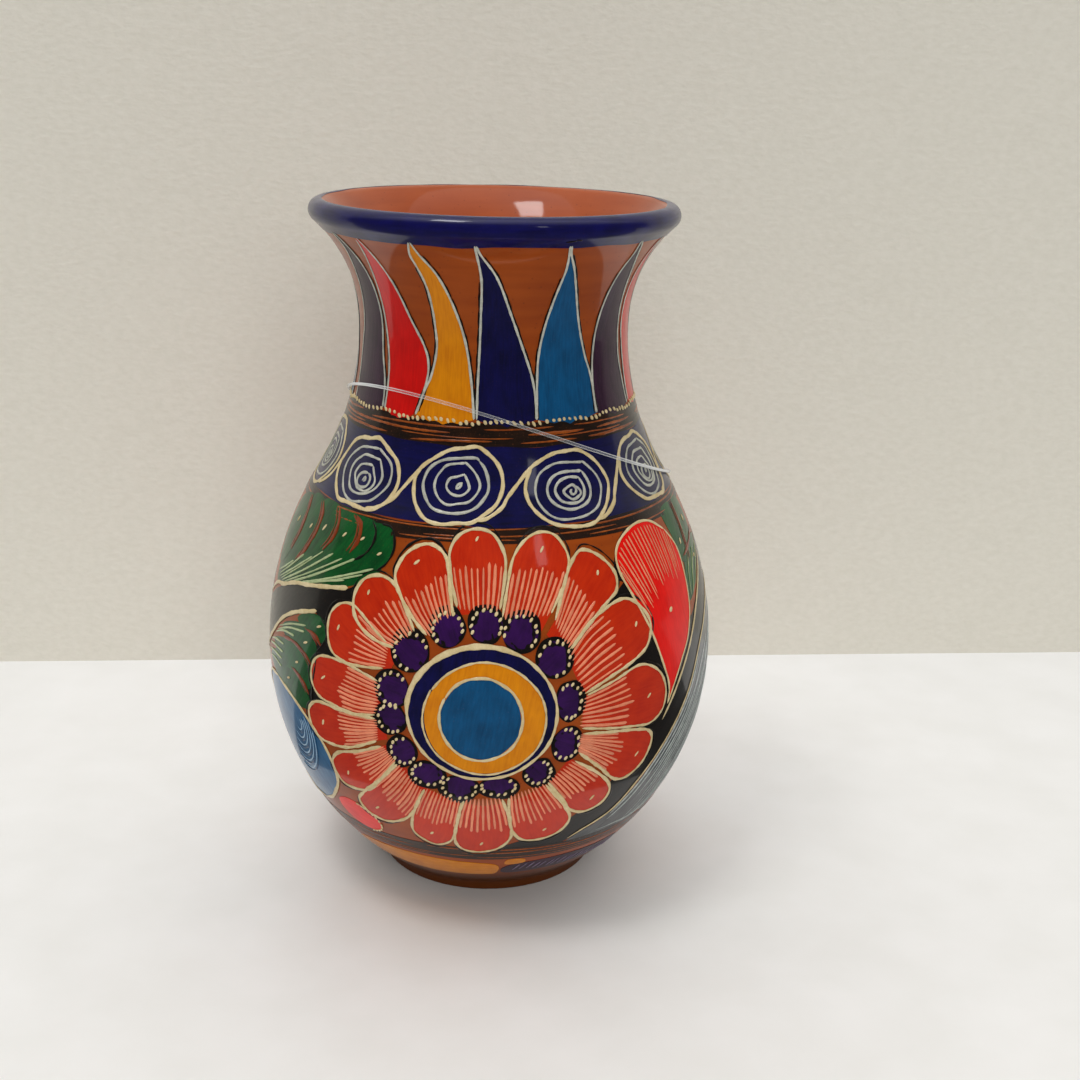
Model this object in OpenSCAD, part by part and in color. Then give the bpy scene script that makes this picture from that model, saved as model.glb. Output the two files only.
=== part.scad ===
// Hand-painted clay vase: one fired clay vessel, the coats of paint that are laid on it,
// and the clear tag thread that hangs round its neck, closed by a crimp.
// Millimetres, +Z up, origin at the centre of the foot; the main flower faces -Y.

/* [Vessel] */
// Height from the foot to the crest of the lip
height = 200; // [190:1:215]
// Diameter of the foot
foot_d = 66; // [58:1:74]
// Height of the upright edge of the foot
foot_h = 2.5; // [1.5:0.1:4]
// Width of the small ledge on top of the foot
foot_step = 0.5; // [0.3:0.1:1.5]
// Largest diameter of the belly
belly_d = 133; // [126:1:142]
// Height of the widest part of the belly
belly_z = 69; // [64:1:74]
// Radius of the shoulder curve above the belly
shoulder_r = 101; // [90:1:112]
// Smallest diameter of the neck
neck_d = 76.5; // [70:0.5:84]
// How far the narrowest part of the neck lies below the crest of the lip
neck_drop = 34; // [30:1:37]
// Radius of the flare between the neck and the lip
flare_r = 39; // [36:0.5:43]
// Radius of the rounded lip
lip_r = 3; // [2.5:0.1:4]
// Thickness of the clay wall
wall = 6; // [4.5:0.1:8]
// Thickness of the floor
floor_t = 8; // [6:0.5:12]

/* [Bands] */
// Thickness of a coat of paint
coat_t = 0.25; // [0.15:0.05:0.5]
// Clearance between the clay and a coat of paint
coat_seat = 0.15; // [0.1:0.05:0.25]
// How far the blue lip coat reaches down from the crest
lip_drop = 7.5; // [6:0.5:10]
// How far the lip coat reaches past the crest, into the mouth
lip_over = 1; // [0.5:0.1:2]
// How far the middle of the spiral band lies above halfway from belly to neck
band_rise = 12.5; // [10:0.5:15]
// Height of the spiral band
band_h = 19; // [15:0.5:22]
// Width of one dark stripe
stripe_h = 1.1; // [0.8:0.1:1.4]
// Step from one dark stripe to the next
stripe_step = 1.9; // [1.7:0.1:2.4]
// Number of dark stripes above the spiral band
neck_stripe_n = 3; // [2:1:3]
// Number of dark stripes below the spiral band
shoulder_stripe_n = 2; // [1:1:2]
// Number of dark stripes above the foot
foot_stripe_n = 3; // [2:1:3]
// Height of the lowest dark stripe above the foot
foot_stripe_z = 21; // [20:0.5:22]
// Height of the lower edge of the gold foot strokes
gold_z = 11; // [9:0.5:12]
// Height of the gold foot strokes
gold_h = 8; // [6:0.5:9]

/* [Flames] */
// Number of flames round the neck
flame_n = 15; // [10:5:20]
// Bare gap between the stripes and the feet of the flames
flame_foot = 0.6; // [0.4:0.1:3]
// Bare gap between the tips of the flames and the lip coat
flame_top = 2; // [1:0.5:8]
// Bare gap between two flames at their feet
flame_gap = 1.2; // [0.6:0.1:2]
// How far the tip leans to the left of the middle
flame_lean = 4.5; // [2:0.5:6]
// How far the two sides of a flame bulge
flame_bulge = 3; // [1:0.2:3.6]
// Turn of the first flame round the neck
flame_turn = 5; // [0:1:20]

/* [Flower] */
// Bare gap between the petals and the stripes above and below them
flower_margin = 0.4; // [0.3:0.1:2]
// Number of petals
petal_n = 17; // [13:1:21]
// Bare gap between two petals
petal_gap = 1; // [0.6:0.1:1.6]
// Radius at which the petals start
petal_in_r = 29.5; // [29:0.5:32]
// Number of berries in the ring
berry_n = 14; // [10:1:15]
// Diameter of a berry
berry_d = 7.6; // [6:0.2:8]
// Diameter of the blue eye
eye_d = 22.6; // [18:0.2:23]
// Outer diameter of the gold ring
gold_ring_d = 31.6; // [28:0.2:32]
// Outer diameter of the navy ring
navy_ring_d = 39.6; // [36:0.2:40]
// Width of the cream line round the navy ring
line_w = 1; // [0.6:0.1:1.2]
// Bare line between the eye and the rings
ring_gap = 0.7; // [0.4:0.1:0.9]

/* [Sprays] */
// Turn from the flower to the leaves on its left
leaf_turn = -62; // [-64:1:-60]
// How far the stems of both leaves stand to the left of that turn
stem_x = 20; // [18:0.5:22]
// Height of the upper leaf's stem above the middle of the flower
upper_stem_z = 25.5; // [24:0.5:27]
// Height of the lower leaf's stem above the middle of the flower
lower_stem_z = 8.5; // [7:0.5:9]
// Number of lobes of the upper leaf
leaf_n = 6; // [4:1:7]
// Reach of the upper leaf's lobes
leaf_l = 46; // [40:1:48]
// Reach of the lower leaf's lobes
low_leaf_l = 33; // [28:1:35]
// Bare reach of every lobe at the stem
leaf_start = 8; // [6:0.5:10]
// Bare gap between two lobes
leaf_gap = 0.9; // [0.6:0.1:1.5]
// Diameter of the blue drop below the leaves
drop_d = 30; // [24:1:31]
// Bare gap between the drop and the foot stripes
drop_gap = 3.5; // [2:0.5:5]
// Width of the dark ground between the two leaves
ground_w = 8; // [5:0.5:8.5]
// Length of the pink bud
bud_l = 18; // [14:1:20]
// Width of the pink bud
bud_w = 7; // [5:0.5:8]
// How far the bud starts in from the drop's side
bud_in = 4; // [3:0.5:5]
// Turn from the flower to the red pod on its right
pod_turn = 50; // [48:1:52]
// Diameter of the round end of the pod
pod_d = 27; // [22:1:28]
// Length of the pod
pod_l = 50; // [44:1:52]
// Bare gap between the pod and the shoulder stripes
pod_gap = 0.5; // [0.4:0.1:3]

/* [Thread] */
// Diameter of the clear tag thread
thread_d = 0.9; // [0.6:0.1:1.5]
// How far the thread's lowest point lies below the narrowest part of the neck
thread_drop = 50; // [46:1:52]
// How much higher the thread lies on the far side of the neck
thread_tilt = 36; // [30:1:40]
// Turn of the thread's lowest point, where its crimp sits
thread_turn = 138; // [130:1:150]
// Diameter of the crimp
crimp_d = 2.2; // [1.8:0.1:3]
// Length of the crimp
crimp_l = 4; // [3:0.5:6]
// Clearance between the thread and the painted wall
thread_clear = 0.3; // [0.2:0.05:0.5]

/* [Hidden] */
$fn = 180;

foot_r = foot_d / 2;
belly_r = belly_d / 2;
neck_r = neck_d / 2;
neck_z = height - neck_drop;

// The painted zones: the band lies between belly and neck, and the rest follows from it.
band_z = (belly_z + neck_z) / 2 + band_rise - band_h / 2;
belly_low_z = foot_stripe_z + foot_stripe_n * stripe_step;
belly_top_z = band_z - shoulder_stripe_n * stripe_step - ring_gap;
neck_stripe_z = band_z + band_h + ring_gap;
flame_z = neck_stripe_z + neck_stripe_n * stripe_step + flame_foot;
lip_edge_z = height - lip_drop;
flame_h = lip_edge_z - flame_top - flame_z;

// The flower fills the belly zone, and its berries stand midway between the rings and the petals.
flower_z = (belly_low_z + belly_top_z) / 2;
flower_r = (belly_top_z - belly_low_z) / 2 - flower_margin;
line_ring_d = navy_ring_d + ring_gap + 2 * line_w;
berry_ring_r = (line_ring_d / 2 + petal_in_r) / 2;
berry_out_r = berry_ring_r + berry_d / 2;

// The same painting is on the front and the back.
faces = [0, 180];
// Stamps start off the axis, clear of one another, and reach through the wall.
stamp_from = foot_r * 0.6;
stamp_reach = belly_d;
// Width of a petal's or pod's root where it enters the round end.
root_share = 0.88;
// Where the motifs beside the flower stand, across and up.
upper_stem = [-stem_x, flower_z + upper_stem_z];
lower_stem = [-stem_x, flower_z + lower_stem_z];
drop_z = belly_low_z + drop_d / 2 + drop_gap;
pod_z = belly_top_z - pod_d / 2 - pod_gap;
// First and last turn of the strokes round the foot, from the middle of the flower.
gold_turns = [-50, 3];
plum_turns = [7, 50];
// First and last lean of the lobes of the two leaves.
upper_leans = [10, 64];
lower_leans = [-30, 8];

// The outline is a chain of arcs: lower belly, shoulder, hollow of the neck, flare, lip.
// Radii are rounded to a hundredth, so that arcs which meet upright meet at the same point,
// and arcs which would only just touch are made to cross by a hair instead.
function up(v, extra) = ceil(v * 100) / 100 + extra;
hair = 0.02;
low_dx = belly_r - foot_r + foot_step;
low_dz = belly_z - foot_h;
low_r = up((low_dx^2 + low_dz^2) / (2 * low_dx), 0);
low_x = belly_r - low_r;
rise_dx = belly_r - neck_r;
rise_dz = neck_z - belly_z;
arc_sum = (rise_dx^2 + rise_dz^2) / (2 * rise_dx);
shoulder_x = belly_r - shoulder_r;
hollow_r = up(arc_sum - shoulder_r, 2 * hair);
hollow_x = neck_r + hollow_r;
flare_x = neck_r + flare_r;
lip_z = height - lip_r;
lip_x = up(flare_x - sqrt((flare_r + lip_r)^2 - (lip_z - neck_z)^2), hair);
// The inside of the flare leaves the neck upright and runs into the inner side of the lip.
in_dx = lip_x - (neck_r - wall);
in_flare_r = up((in_dx^2 + (lip_z - neck_z)^2 - lip_r^2) / (2 * (in_dx - lip_r)), -2 * hair);
in_flare_x = neck_r - wall + in_flare_r;
in_brow_z = neck_z + (lip_z - neck_z) * in_flare_r / (in_flare_r - lip_r);

// Height at which the shoulder turns into the hollow, on the outline grown by g.
function turn_z(g) = belly_z + rise_dz * (shoulder_r + g) / arc_sum;
// Height at which the flare turns into the lip, on the outline grown by g.
function brow_z(g) = neck_z + (lip_z - neck_z) * (flare_r - g) / (flare_r + lip_r);
// Radius of the outside at height z, between the belly and the neck.
function wall_r(z) = z < turn_z(0)
    ? shoulder_x + sqrt(shoulder_r^2 - (z - belly_z)^2)
    : hollow_x - sqrt(hollow_r^2 - (neck_z - z)^2);

module strip(z0, z1, x = belly_d) polygon([[0, z0], [x, z0], [x, z1], [0, z1]]);
module disc(x, z, r) translate([x, z]) circle(r);

// Half outline from the top of the foot to the narrowest part of the neck, grown by g.
module body(z0, g) {
    intersection() {
        disc(low_x, belly_z, low_r + g);
        strip(z0, belly_z);
    }
    difference() {
        union() {
            intersection() {
                disc(shoulder_x, belly_z, shoulder_r + g);
                strip(belly_z, turn_z(g));
            }
            strip(turn_z(g), neck_z, hollow_x);
        }
        disc(hollow_x, neck_z, hollow_r - g);
    }
}

// Half outline of the outside of the vessel, grown by g.
module outside(g = 0) {
    square([foot_r + g, foot_h]);
    body(foot_h, g);
    difference() {
        union() {
            strip(neck_z, brow_z(g), flare_x);
            strip(brow_z(g), in_brow_z, lip_x);
            disc(lip_x, lip_z, lip_r + g);
        }
        disc(flare_x, neck_z, flare_r - g);
    }
}

// Half outline of the hollow inside.
module inside() {
    body(floor_t, -wall);
    difference() {
        strip(neck_z, height + lip_r, in_flare_x);
        disc(in_flare_x, neck_z, in_flare_r);
    }
}

module vessel() color("peru") rotate_extrude() difference() {
    outside();
    inside();
}

// Half section of the paint, all the way up the outside.
module paint() difference() {
    outside(coat_seat + coat_t);
    outside(coat_seat);
}

// A ring of paint on the outside, from height z0 to z1.
module coat(z0, z1) rotate_extrude() intersection() {
    paint();
    strip(z0, z1);
}

// Cuts a flat drawing out of a coat, straight in from the side at a turn round the axis.
module stamp(turn) rotate([90, 0, turn]) translate([0, 0, stamp_from])
    linear_extrude(stamp_reach) children();

module lip_coat() color("midnightblue") rotate_extrude() intersection() {
    paint();
    translate([lip_x - lip_over, lip_edge_z]) square([belly_r, height]);
}

module stripes(z, n) for (i = [0 : n - 1]) coat(z + i * stripe_step, z + i * stripe_step + stripe_h);

module neck_stripes() color("saddlebrown") stripes(neck_stripe_z, neck_stripe_n);
module shoulder_stripes() color("saddlebrown")
    stripes(band_z - shoulder_stripe_n * stripe_step, shoulder_stripe_n);
module foot_stripes() color("saddlebrown") stripes(foot_stripe_z, foot_stripe_n);
module spiral_band() color("navy") coat(band_z, band_z + band_h);

// The disc whose edge runs from p to q and bulges to the right of that way.
module bulge_disc(p, q, bulge) {
    d = q - p;
    l = norm(d);
    r = l^2 / (8 * bulge) + bulge / 2;
    translate((p + q) / 2 + [-d.y, d.x] / l * (r - bulge)) circle(r);
}

// A pointed flame: two curved sides from its foot to a tip that leans to the left.
module flame() {
    half_w = wall_r(flame_z) * sin(180 / flame_n) - flame_gap / 2;
    tip = [-flame_lean, flame_h];
    intersection() {
        bulge_disc([half_w, 0], tip, flame_bulge);
        bulge_disc(tip, [-half_w, 0], flame_bulge);
        translate([-2 * half_w, 0]) square([4 * half_w, 2 * flame_h]);
    }
}

// Every fifth flame round the neck, starting at the given one.
module flames(first) intersection() {
    coat(flame_z, lip_edge_z - flame_top / 2);
    for (i = [first : 5 : flame_n - 1])
        stamp(flame_turn + i * 360 / flame_n) translate([0, flame_z]) flame();
}

module flames_navy() color("midnightblue") flames(0);
module flames_sky() color("steelblue") flames(1);
module flames_plum() color("indigo") flames(2);
module flames_red() color("red") flames(3);
module flames_ochre() color("goldenrod") flames(4);

// The part of the belly that carries the flowers.
module belly_coat() coat(belly_low_z, belly_top_z);

// A drawing laid on the belly round the middle of each flower.
module on_flowers() intersection() {
    belly_coat();
    for (face = faces) stamp(face) translate([0, flower_z]) children();
}

module disc_ring(d_in, d_out) difference() {
    circle(d = d_out);
    circle(d = d_in);
}

// One petal along +X: a round end that fits between its neighbours, and a narrower, tapered root.
module petal() {
    half = 180 / petal_n;
    end_x = flower_r / (1 + sin(half));
    end_r = end_x * sin(half) - petal_gap / 2;
    root_w = petal_in_r * sin(half) - petal_gap;
    translate([end_x, 0]) circle(end_r);
    polygon([[petal_in_r, -root_w], [end_x, -end_r * root_share],
             [end_x, end_r * root_share], [petal_in_r, root_w]]);
}

module petals() color("orangered") on_flowers() difference() {
    for (i = [0 : petal_n - 1]) rotate(90 + i * 360 / petal_n) petal();
    circle(berry_out_r + ring_gap / 2);
}
module berries() color("indigo") on_flowers()
    for (i = [0 : berry_n - 1])
        rotate(90 + i * 360 / berry_n) translate([berry_ring_r, 0]) circle(d = berry_d);
module flower_eye() color("steelblue") on_flowers() circle(d = eye_d);
module flower_gold_ring() color("goldenrod") on_flowers()
    disc_ring(eye_d + 2 * ring_gap, gold_ring_d);
module flower_navy_ring() color("midnightblue") on_flowers()
    disc_ring(gold_ring_d + 2 * ring_gap, navy_ring_d);
module flower_line_ring() color("ivory") on_flowers()
    disc_ring(line_ring_d - 2 * line_w, line_ring_d);

// A leaf-shaped lens along +X, from the origin.
module lens(l, w) {
    side_r = (l^2 + w^2) / (4 * w);
    translate([l / 2, 0]) intersection() {
        translate([0, side_r - w / 2]) circle(side_r);
        translate([0, w / 2 - side_r]) circle(side_r);
    }
}

// Lobes that fan out round one point, from the first lean to the last, with gaps between them.
module fan(n, leans, l) {
    step = (leans[1] - leans[0]) / (n - 1);
    lobe_w = (leaf_start + l) * sin(step / 2) - leaf_gap;
    for (i = [0 : n - 1])
        rotate(leans[0] + i * step) translate([leaf_start, 0]) lens(l - leaf_start, lobe_w);
}

module clear_of_flowers() difference() {
    children();
    for (face = faces) stamp(face) translate([0, flower_z]) circle(flower_r + ring_gap);
}

// A drawing laid on the belly at a turn from each flower, and kept off its petals.
module on_sides(turn) clear_of_flowers() intersection() {
    belly_coat();
    for (face = faces) stamp(face + turn) children();
}

module leaf_drawing() {
    translate(upper_stem) fan(leaf_n, upper_leans, leaf_l);
    translate(lower_stem) fan(leaf_n, lower_leans, low_leaf_l);
}
module drop_drawing() translate([0, drop_z]) circle(d = drop_d);
module bud_drawing() translate([drop_d / 2 - bud_in, belly_low_z + bud_w]) rotate(-8) lens(bud_l, bud_w);
module ground_drawing() translate((upper_stem + lower_stem) / 2) rotate(8) lens(leaf_l, ground_w);
module pod_drawing() {
    end_r = pod_d / 2;
    translate([0, pod_z]) {
        circle(end_r);
        polygon([[end_r * root_share, 0], [-end_r * root_share, 0], [0, end_r - pod_l]]);
    }
}

module leaves() color("darkgreen") on_sides(leaf_turn) leaf_drawing();
module blue_drops() color("cornflowerblue") on_sides(leaf_turn) drop_drawing();
module pink_buds() color("crimson") on_sides(leaf_turn) bud_drawing();
module red_pods() color("red") on_sides(pod_turn) pod_drawing();
module dark_ground() color("black") on_sides(leaf_turn) ground_drawing();

// A stroke of paint round the foot, from one turn to another on both faces.
module foot_stroke(turns) for (face = faces)
    rotate([0, 0, face + turns[0] - 90]) rotate_extrude(angle = turns[1] - turns[0]) intersection() {
        paint();
        strip(gold_z, gold_z + gold_h);
    }
module foot_gold() color("goldenrod") foot_stroke(gold_turns);
module foot_plum() color("indigo") foot_stroke(plum_turns);

// The thread lies aslant round the neck, in this many steps.
thread_n = 24;
thread_sides = 8;
thread_low_z = neck_z - thread_drop;
crimp_lift = coat_seat + coat_t + thread_clear + crimp_d / 2;
thread_lift = coat_seat + coat_t + thread_clear + thread_d / 2;
crimp_r = wall_r(thread_low_z) + crimp_lift;

function thread_z(i) = thread_low_z + thread_tilt / 2 * (1 - cos(i * 360 / thread_n));
function around(r, turn, z) = [r * sin(turn), -r * cos(turn), z];
// Points of the thread's middle line: its two ends stand at the ends of the crimp.
end_turn = atan(crimp_l / 2 / crimp_r);
thread_line = [for (i = [0 : thread_n])
    i == 0 || i == thread_n
        ? around(norm([crimp_r, crimp_l / 2]), thread_turn + (i == 0 ? end_turn : -end_turn), thread_low_z)
        : around(wall_r(thread_z(i)) + thread_lift, thread_turn + i * 360 / thread_n, thread_z(i))];

// A smooth point on the line, a share of the way from point i to the next.
function line_at(p, i, t) =
    let (a = p[max(i - 1, 0)], b = p[i], c = p[i + 1], d = p[min(i + 2, len(p) - 1)])
    b + t * (c - a) / 2 + t^2 * (2 * a - 5 * b + 4 * c - d) / 2 + t^3 * (3 * b - a - 3 * c + d) / 2;
thread_path = [
    for (i = [0 : thread_n - 1], k = [0 : 2]) line_at(thread_line, i, k / 3),
    thread_line[thread_n]];
last_ring = len(thread_path) - 1;

// The way the thread runs at ring j; its ends stand square on the crimp.
function way(j) =
    let (d = j == 0 || j == last_ring
             ? [cos(thread_turn), sin(thread_turn), 0]
             : thread_path[j + 1] - thread_path[j - 1])
    d / norm(d);
function ring(j) =
    let (c = thread_path[j], w = way(j), side = cross([0, 0, 1], w), n = side / norm(side), b = cross(w, n))
    [for (k = [0 : thread_sides - 1])
        c + thread_d / 2 * (n * cos(k * 360 / thread_sides) + b * sin(k * 360 / thread_sides))];

module tag_thread() color("white") polyhedron(
    points = [for (j = [0 : last_ring]) each ring(j)],
    faces = [
        [for (k = [0 : thread_sides - 1]) k],
        [for (k = [0 : thread_sides - 1]) (last_ring + 1) * thread_sides - 1 - k],
        for (j = [0 : last_ring - 1], k = [0 : thread_sides - 1])
            let (a = j * thread_sides + k, b = j * thread_sides + (k + 1) % thread_sides)
            each [[a, a + thread_sides, b], [b, a + thread_sides, b + thread_sides]]]);
module thread_crimp() color("white") rotate([0, 0, thread_turn]) translate([0, -crimp_r, thread_low_z])
    rotate([0, 90, 0]) cylinder(h = crimp_l, d = crimp_d, center = true, $fn = 48);

vessel();
lip_coat();
flames_red();
flames_ochre();
flames_navy();
flames_sky();
flames_plum();
neck_stripes();
spiral_band();
shoulder_stripes();
petals();
berries();
flower_line_ring();
flower_navy_ring();
flower_gold_ring();
flower_eye();
leaves();
red_pods();
blue_drops();
pink_buds();
dark_ground();
foot_stripes();
foot_gold();
foot_plum();
tag_thread();
thread_crimp();
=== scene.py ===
import math
import random
import bpy
import numpy as np
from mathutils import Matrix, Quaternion, Vector
from mathutils.geometry import delaunay_2d_cdt


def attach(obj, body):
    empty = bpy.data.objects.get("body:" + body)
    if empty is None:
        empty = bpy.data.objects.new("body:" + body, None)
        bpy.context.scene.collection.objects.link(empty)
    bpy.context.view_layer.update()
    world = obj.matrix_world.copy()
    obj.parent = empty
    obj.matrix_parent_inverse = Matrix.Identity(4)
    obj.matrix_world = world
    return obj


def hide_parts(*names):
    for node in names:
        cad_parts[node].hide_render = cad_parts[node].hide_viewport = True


# A painted clay vase: the pot is turned, the painting is drawn flat in degrees and millimetres
# and laid on the wall, coat over coat, as the brush did it.
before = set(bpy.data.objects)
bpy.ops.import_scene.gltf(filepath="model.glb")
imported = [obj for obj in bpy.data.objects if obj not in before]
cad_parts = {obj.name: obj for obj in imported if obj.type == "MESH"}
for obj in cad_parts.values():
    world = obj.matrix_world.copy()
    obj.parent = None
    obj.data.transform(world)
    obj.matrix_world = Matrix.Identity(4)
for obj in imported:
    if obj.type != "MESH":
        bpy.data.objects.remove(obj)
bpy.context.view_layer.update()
scene = bpy.context.scene
scene.view_settings.view_transform = "Standard"
mm = 0.001
flatX = 7 / 6  # width of one degree in the flat drawing, about its width on the belly in mm
print("frame loaded with", len(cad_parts), "nodes")


def addObject(name, data):
    made = bpy.data.objects.new(name, data)
    scene.collection.objects.link(made)
    return made


def addPiece(name, data, slot, *nodes):
    piece = addObject(name, data)
    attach(piece, "root")
    if nodes:
        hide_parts(*nodes)
    return piece


def srgb(*color):
    linear = [c / 255 / 12.92 if c < 11 else ((c / 255 + 0.055) / 1.055) ** 2.4 for c in color]
    return (*linear, 1.0)


# Node trees are built from parts, name: (type, input values, other settings), and wires between them
def setInputs(node, values):
    for key, value in values.items():
        node.inputs[key].default_value = value


def socketOf(nodes, path, side):
    name, label = path.split(".")
    sockets = getattr(nodes[name], side)
    return sockets[int(label)] if label.isdigit() else sockets[label]


def build(tree, nodes, parts, wires):
    for name, (kind, values, *settings) in parts.items():
        nodes[name] = tree.nodes.new(kind)
        for key, value in dict(*settings).items():
            setattr(nodes[name], key, value)
        setInputs(nodes[name], values)
    for wire in wires:
        start, end = wire.split(" > ")
        tree.links.new(socketOf(nodes, start, "outputs"), socketOf(nodes, end, "inputs"))


def newMaterial(name):
    made = bpy.data.materials.new(name)
    made.use_nodes = True
    held = made.node_tree.nodes
    return made, {"bsdf": held["Principled BSDF"], "output": held["Material Output"]}


def newGroup(name, kind, inputs, outputs):
    group = bpy.data.node_groups.new(name, kind)
    for way, sockets in (("INPUT", inputs), ("OUTPUT", outputs)):
        for label, sort in sockets.items():
            group.interface.new_socket(name=label, in_out=way, socket_type="NodeSocket" + sort)
    return group, {"given": group.nodes.new("NodeGroupInput"), "put": group.nodes.new("NodeGroupOutput")}


def setRamp(node, *stops):
    for element, (place, color) in zip(node.color_ramp.elements, stops):
        element.position = place
        element.color = color


# Camera, fitted to the rim, the painted bands and the sides of the pot
cameraSet = {
    "place": (0.0, -0.4225, 0.2377), "yaw": 1.99, "pitch": 18.05, "roll": 1.35, "lens": 49.23,
    "sensor": 36, "near": 0.01,
}


def addCamera():
    yaw = math.radians(cameraSet["yaw"])
    pitch = math.radians(cameraSet["pitch"])
    look = Vector((math.sin(yaw) * math.cos(pitch), math.cos(yaw) * math.cos(pitch), -math.sin(pitch)))
    camData = bpy.data.cameras.new("photoCamera")
    camData.lens = cameraSet["lens"]
    camData.sensor_width = cameraSet["sensor"]
    camData.clip_start = cameraSet["near"]
    camera = addObject("photoCamera", camData)
    camera.location = cameraSet["place"]
    camera.rotation_mode = "QUATERNION"
    turn = Quaternion((0, 0, 1), math.radians(cameraSet["roll"]))
    camera.rotation_quaternion = look.to_track_quat("-Z", "Y") @ turn
    scene.camera = camera


addCamera()

# The pot's outline, in millimetres: lower belly, shoulder, hollow, flare and lip are arcs
pot = {
    "footR": 33.0, "footH": 2.5, "footStep": 0.5, "bellyR": 66.5, "bellyZ": 69.0, "shoulderR": 101.0,
    "neckR": 38.25, "neckZ": 166.0, "flareR": 39.0, "lipR": 3.0, "height": 200.0, "wall": 6.0,
    "floor": 8.0, "around": 240,
}
lowDx = pot["bellyR"] - pot["footR"] + pot["footStep"]
lowDz = pot["bellyZ"] - pot["footH"]
lowR = (lowDx ** 2 + lowDz ** 2) / (2 * lowDx)
lowX = pot["bellyR"] - lowR
riseDx = pot["bellyR"] - pot["neckR"]
riseDz = pot["neckZ"] - pot["bellyZ"]
arcSum = (riseDx ** 2 + riseDz ** 2) / (2 * riseDx)
shoulderX = pot["bellyR"] - pot["shoulderR"]
hollowR = arcSum - pot["shoulderR"]
hollowX = pot["neckR"] + hollowR
turnZ = pot["bellyZ"] + riseDz * pot["shoulderR"] / arcSum
flareX = pot["neckR"] + pot["flareR"]
lipZ = pot["height"] - pot["lipR"]
lipX = flareX - math.sqrt((pot["flareR"] + pot["lipR"]) ** 2 - (lipZ - pot["neckZ"]) ** 2)
browZ = pot["neckZ"] + (lipZ - pot["neckZ"]) * pot["flareR"] / (pot["flareR"] + pot["lipR"])
# each arc from the foot up: where it ends, its centre, its radius, and 1 if it bulges or -1 if it is hollow
arcs = [
    (pot["bellyZ"], lowX, pot["bellyZ"], lowR, 1),
    (turnZ, shoulderX, pot["bellyZ"], pot["shoulderR"], 1),
    (pot["neckZ"], hollowX, pot["neckZ"], hollowR, -1),
    (browZ, flareX, pot["neckZ"], pot["flareR"], -1),
    (math.inf, lipX, lipZ, pot["lipR"], 1),
]


def wallAt(z):
    # radius of the wall at a height, and how far its normal points out and up
    z = np.asarray(z, float)
    zones = [z < arc[0] for arc in arcs]
    x, level, radius, way = (np.select(zones, column) for column in list(zip(*arcs))[1:])
    run = way * np.sqrt(np.maximum(radius ** 2 - (z - level) ** 2, 0.0))
    up = way * (z - level)
    size = np.maximum(np.hypot(run, up), 1e-9)
    return x + run, way * run / size, up / size


def wallR(z):
    return wallAt(z)[0]


def onVase(deg, z, lift):
    # a point of the flat drawing, laid on the wall; lift is in mm above the clay
    deg, z, lift = np.broadcast_arrays(*(np.asarray(value, float) for value in (deg, z, lift)))
    r, out, up = wallAt(z)
    r = r + lift * out
    a = np.radians(deg)
    return np.stack([r * np.sin(a), -r * np.cos(a), z + lift * up], -1) * mm


def facingOf(deg, z):
    out, up = wallAt(z)[1:]
    a = np.radians(deg)
    return np.stack([out * np.sin(a), -out * np.cos(a), up], -1)


def bend(a, b, c, d, t):
    # a point between b and c of the smooth curve through all four
    square = 2 * a - 5 * b + 4 * c - d
    cube = 3 * b - a - 3 * c + d
    return b + t * (c - a) / 2 + t ** 2 * square / 2 + t ** 3 * cube / 2


def lengthsAlong(points):
    return np.concatenate([[0], np.cumsum(np.linalg.norm(np.diff(points, axis=0), axis=1))])


# Clear tag thread: it lies aslant round the neck and ends in a crimp at the back
thread = {
    "diameter": 0.9, "lowZ": 116.0, "tilt": 36.0, "turn": 138.0, "steps": 24, "lift": 1.15, "sides": 3,
    "crimpLength": 4.0, "crimpLift": 1.8, "clearTo": 0.3, "highlightFrom": 0.62, "highlightAlpha": 0.85, "ior": 1.53,
    "deep": (0.86, 0.88, 0.88, 1), "color": (0.97, 0.98, 0.98, 1), "haze": 0.08, "crimpHaze": 0.3,
}


def nylonMaterial(name, haze):
    # clear filament: see-through in the middle, with opaque near-white edges as a painted highlight for the
    # light caught along them
    made, nodes = newMaterial(name)
    build(made.node_tree, nodes, {
        "place": ("ShaderNodeTexCoord", {}),
        "noise": ("ShaderNodeTexNoise", {"Scale": 900, "Detail": 3}),
        "ramp": ("ShaderNodeValToRGB", {}),
        "rough": ("ShaderNodeMapRange", {"To Min": 0.06, "To Max": 0.16}),
        "weight": ("ShaderNodeLayerWeight", {"Blend": 0.5}),
        "edge": ("ShaderNodeMapRange", {"From Min": thread["clearTo"], "From Max": thread["highlightFrom"],
                                        "To Min": haze, "To Max": thread["highlightAlpha"]}),
    }, [
        "place.Object > noise.Vector", "noise.Fac > ramp.Fac", "noise.Fac > rough.Value",
        "ramp.Color > bsdf.Base Color", "rough.Result > bsdf.Roughness",
        "weight.Facing > edge.Value", "edge.Result > bsdf.Alpha",
    ])
    setRamp(nodes["ramp"], (0, thread["deep"]), (1, thread["color"]))
    setInputs(nodes["bsdf"], {"IOR": thread["ior"]})
    return made


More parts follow.
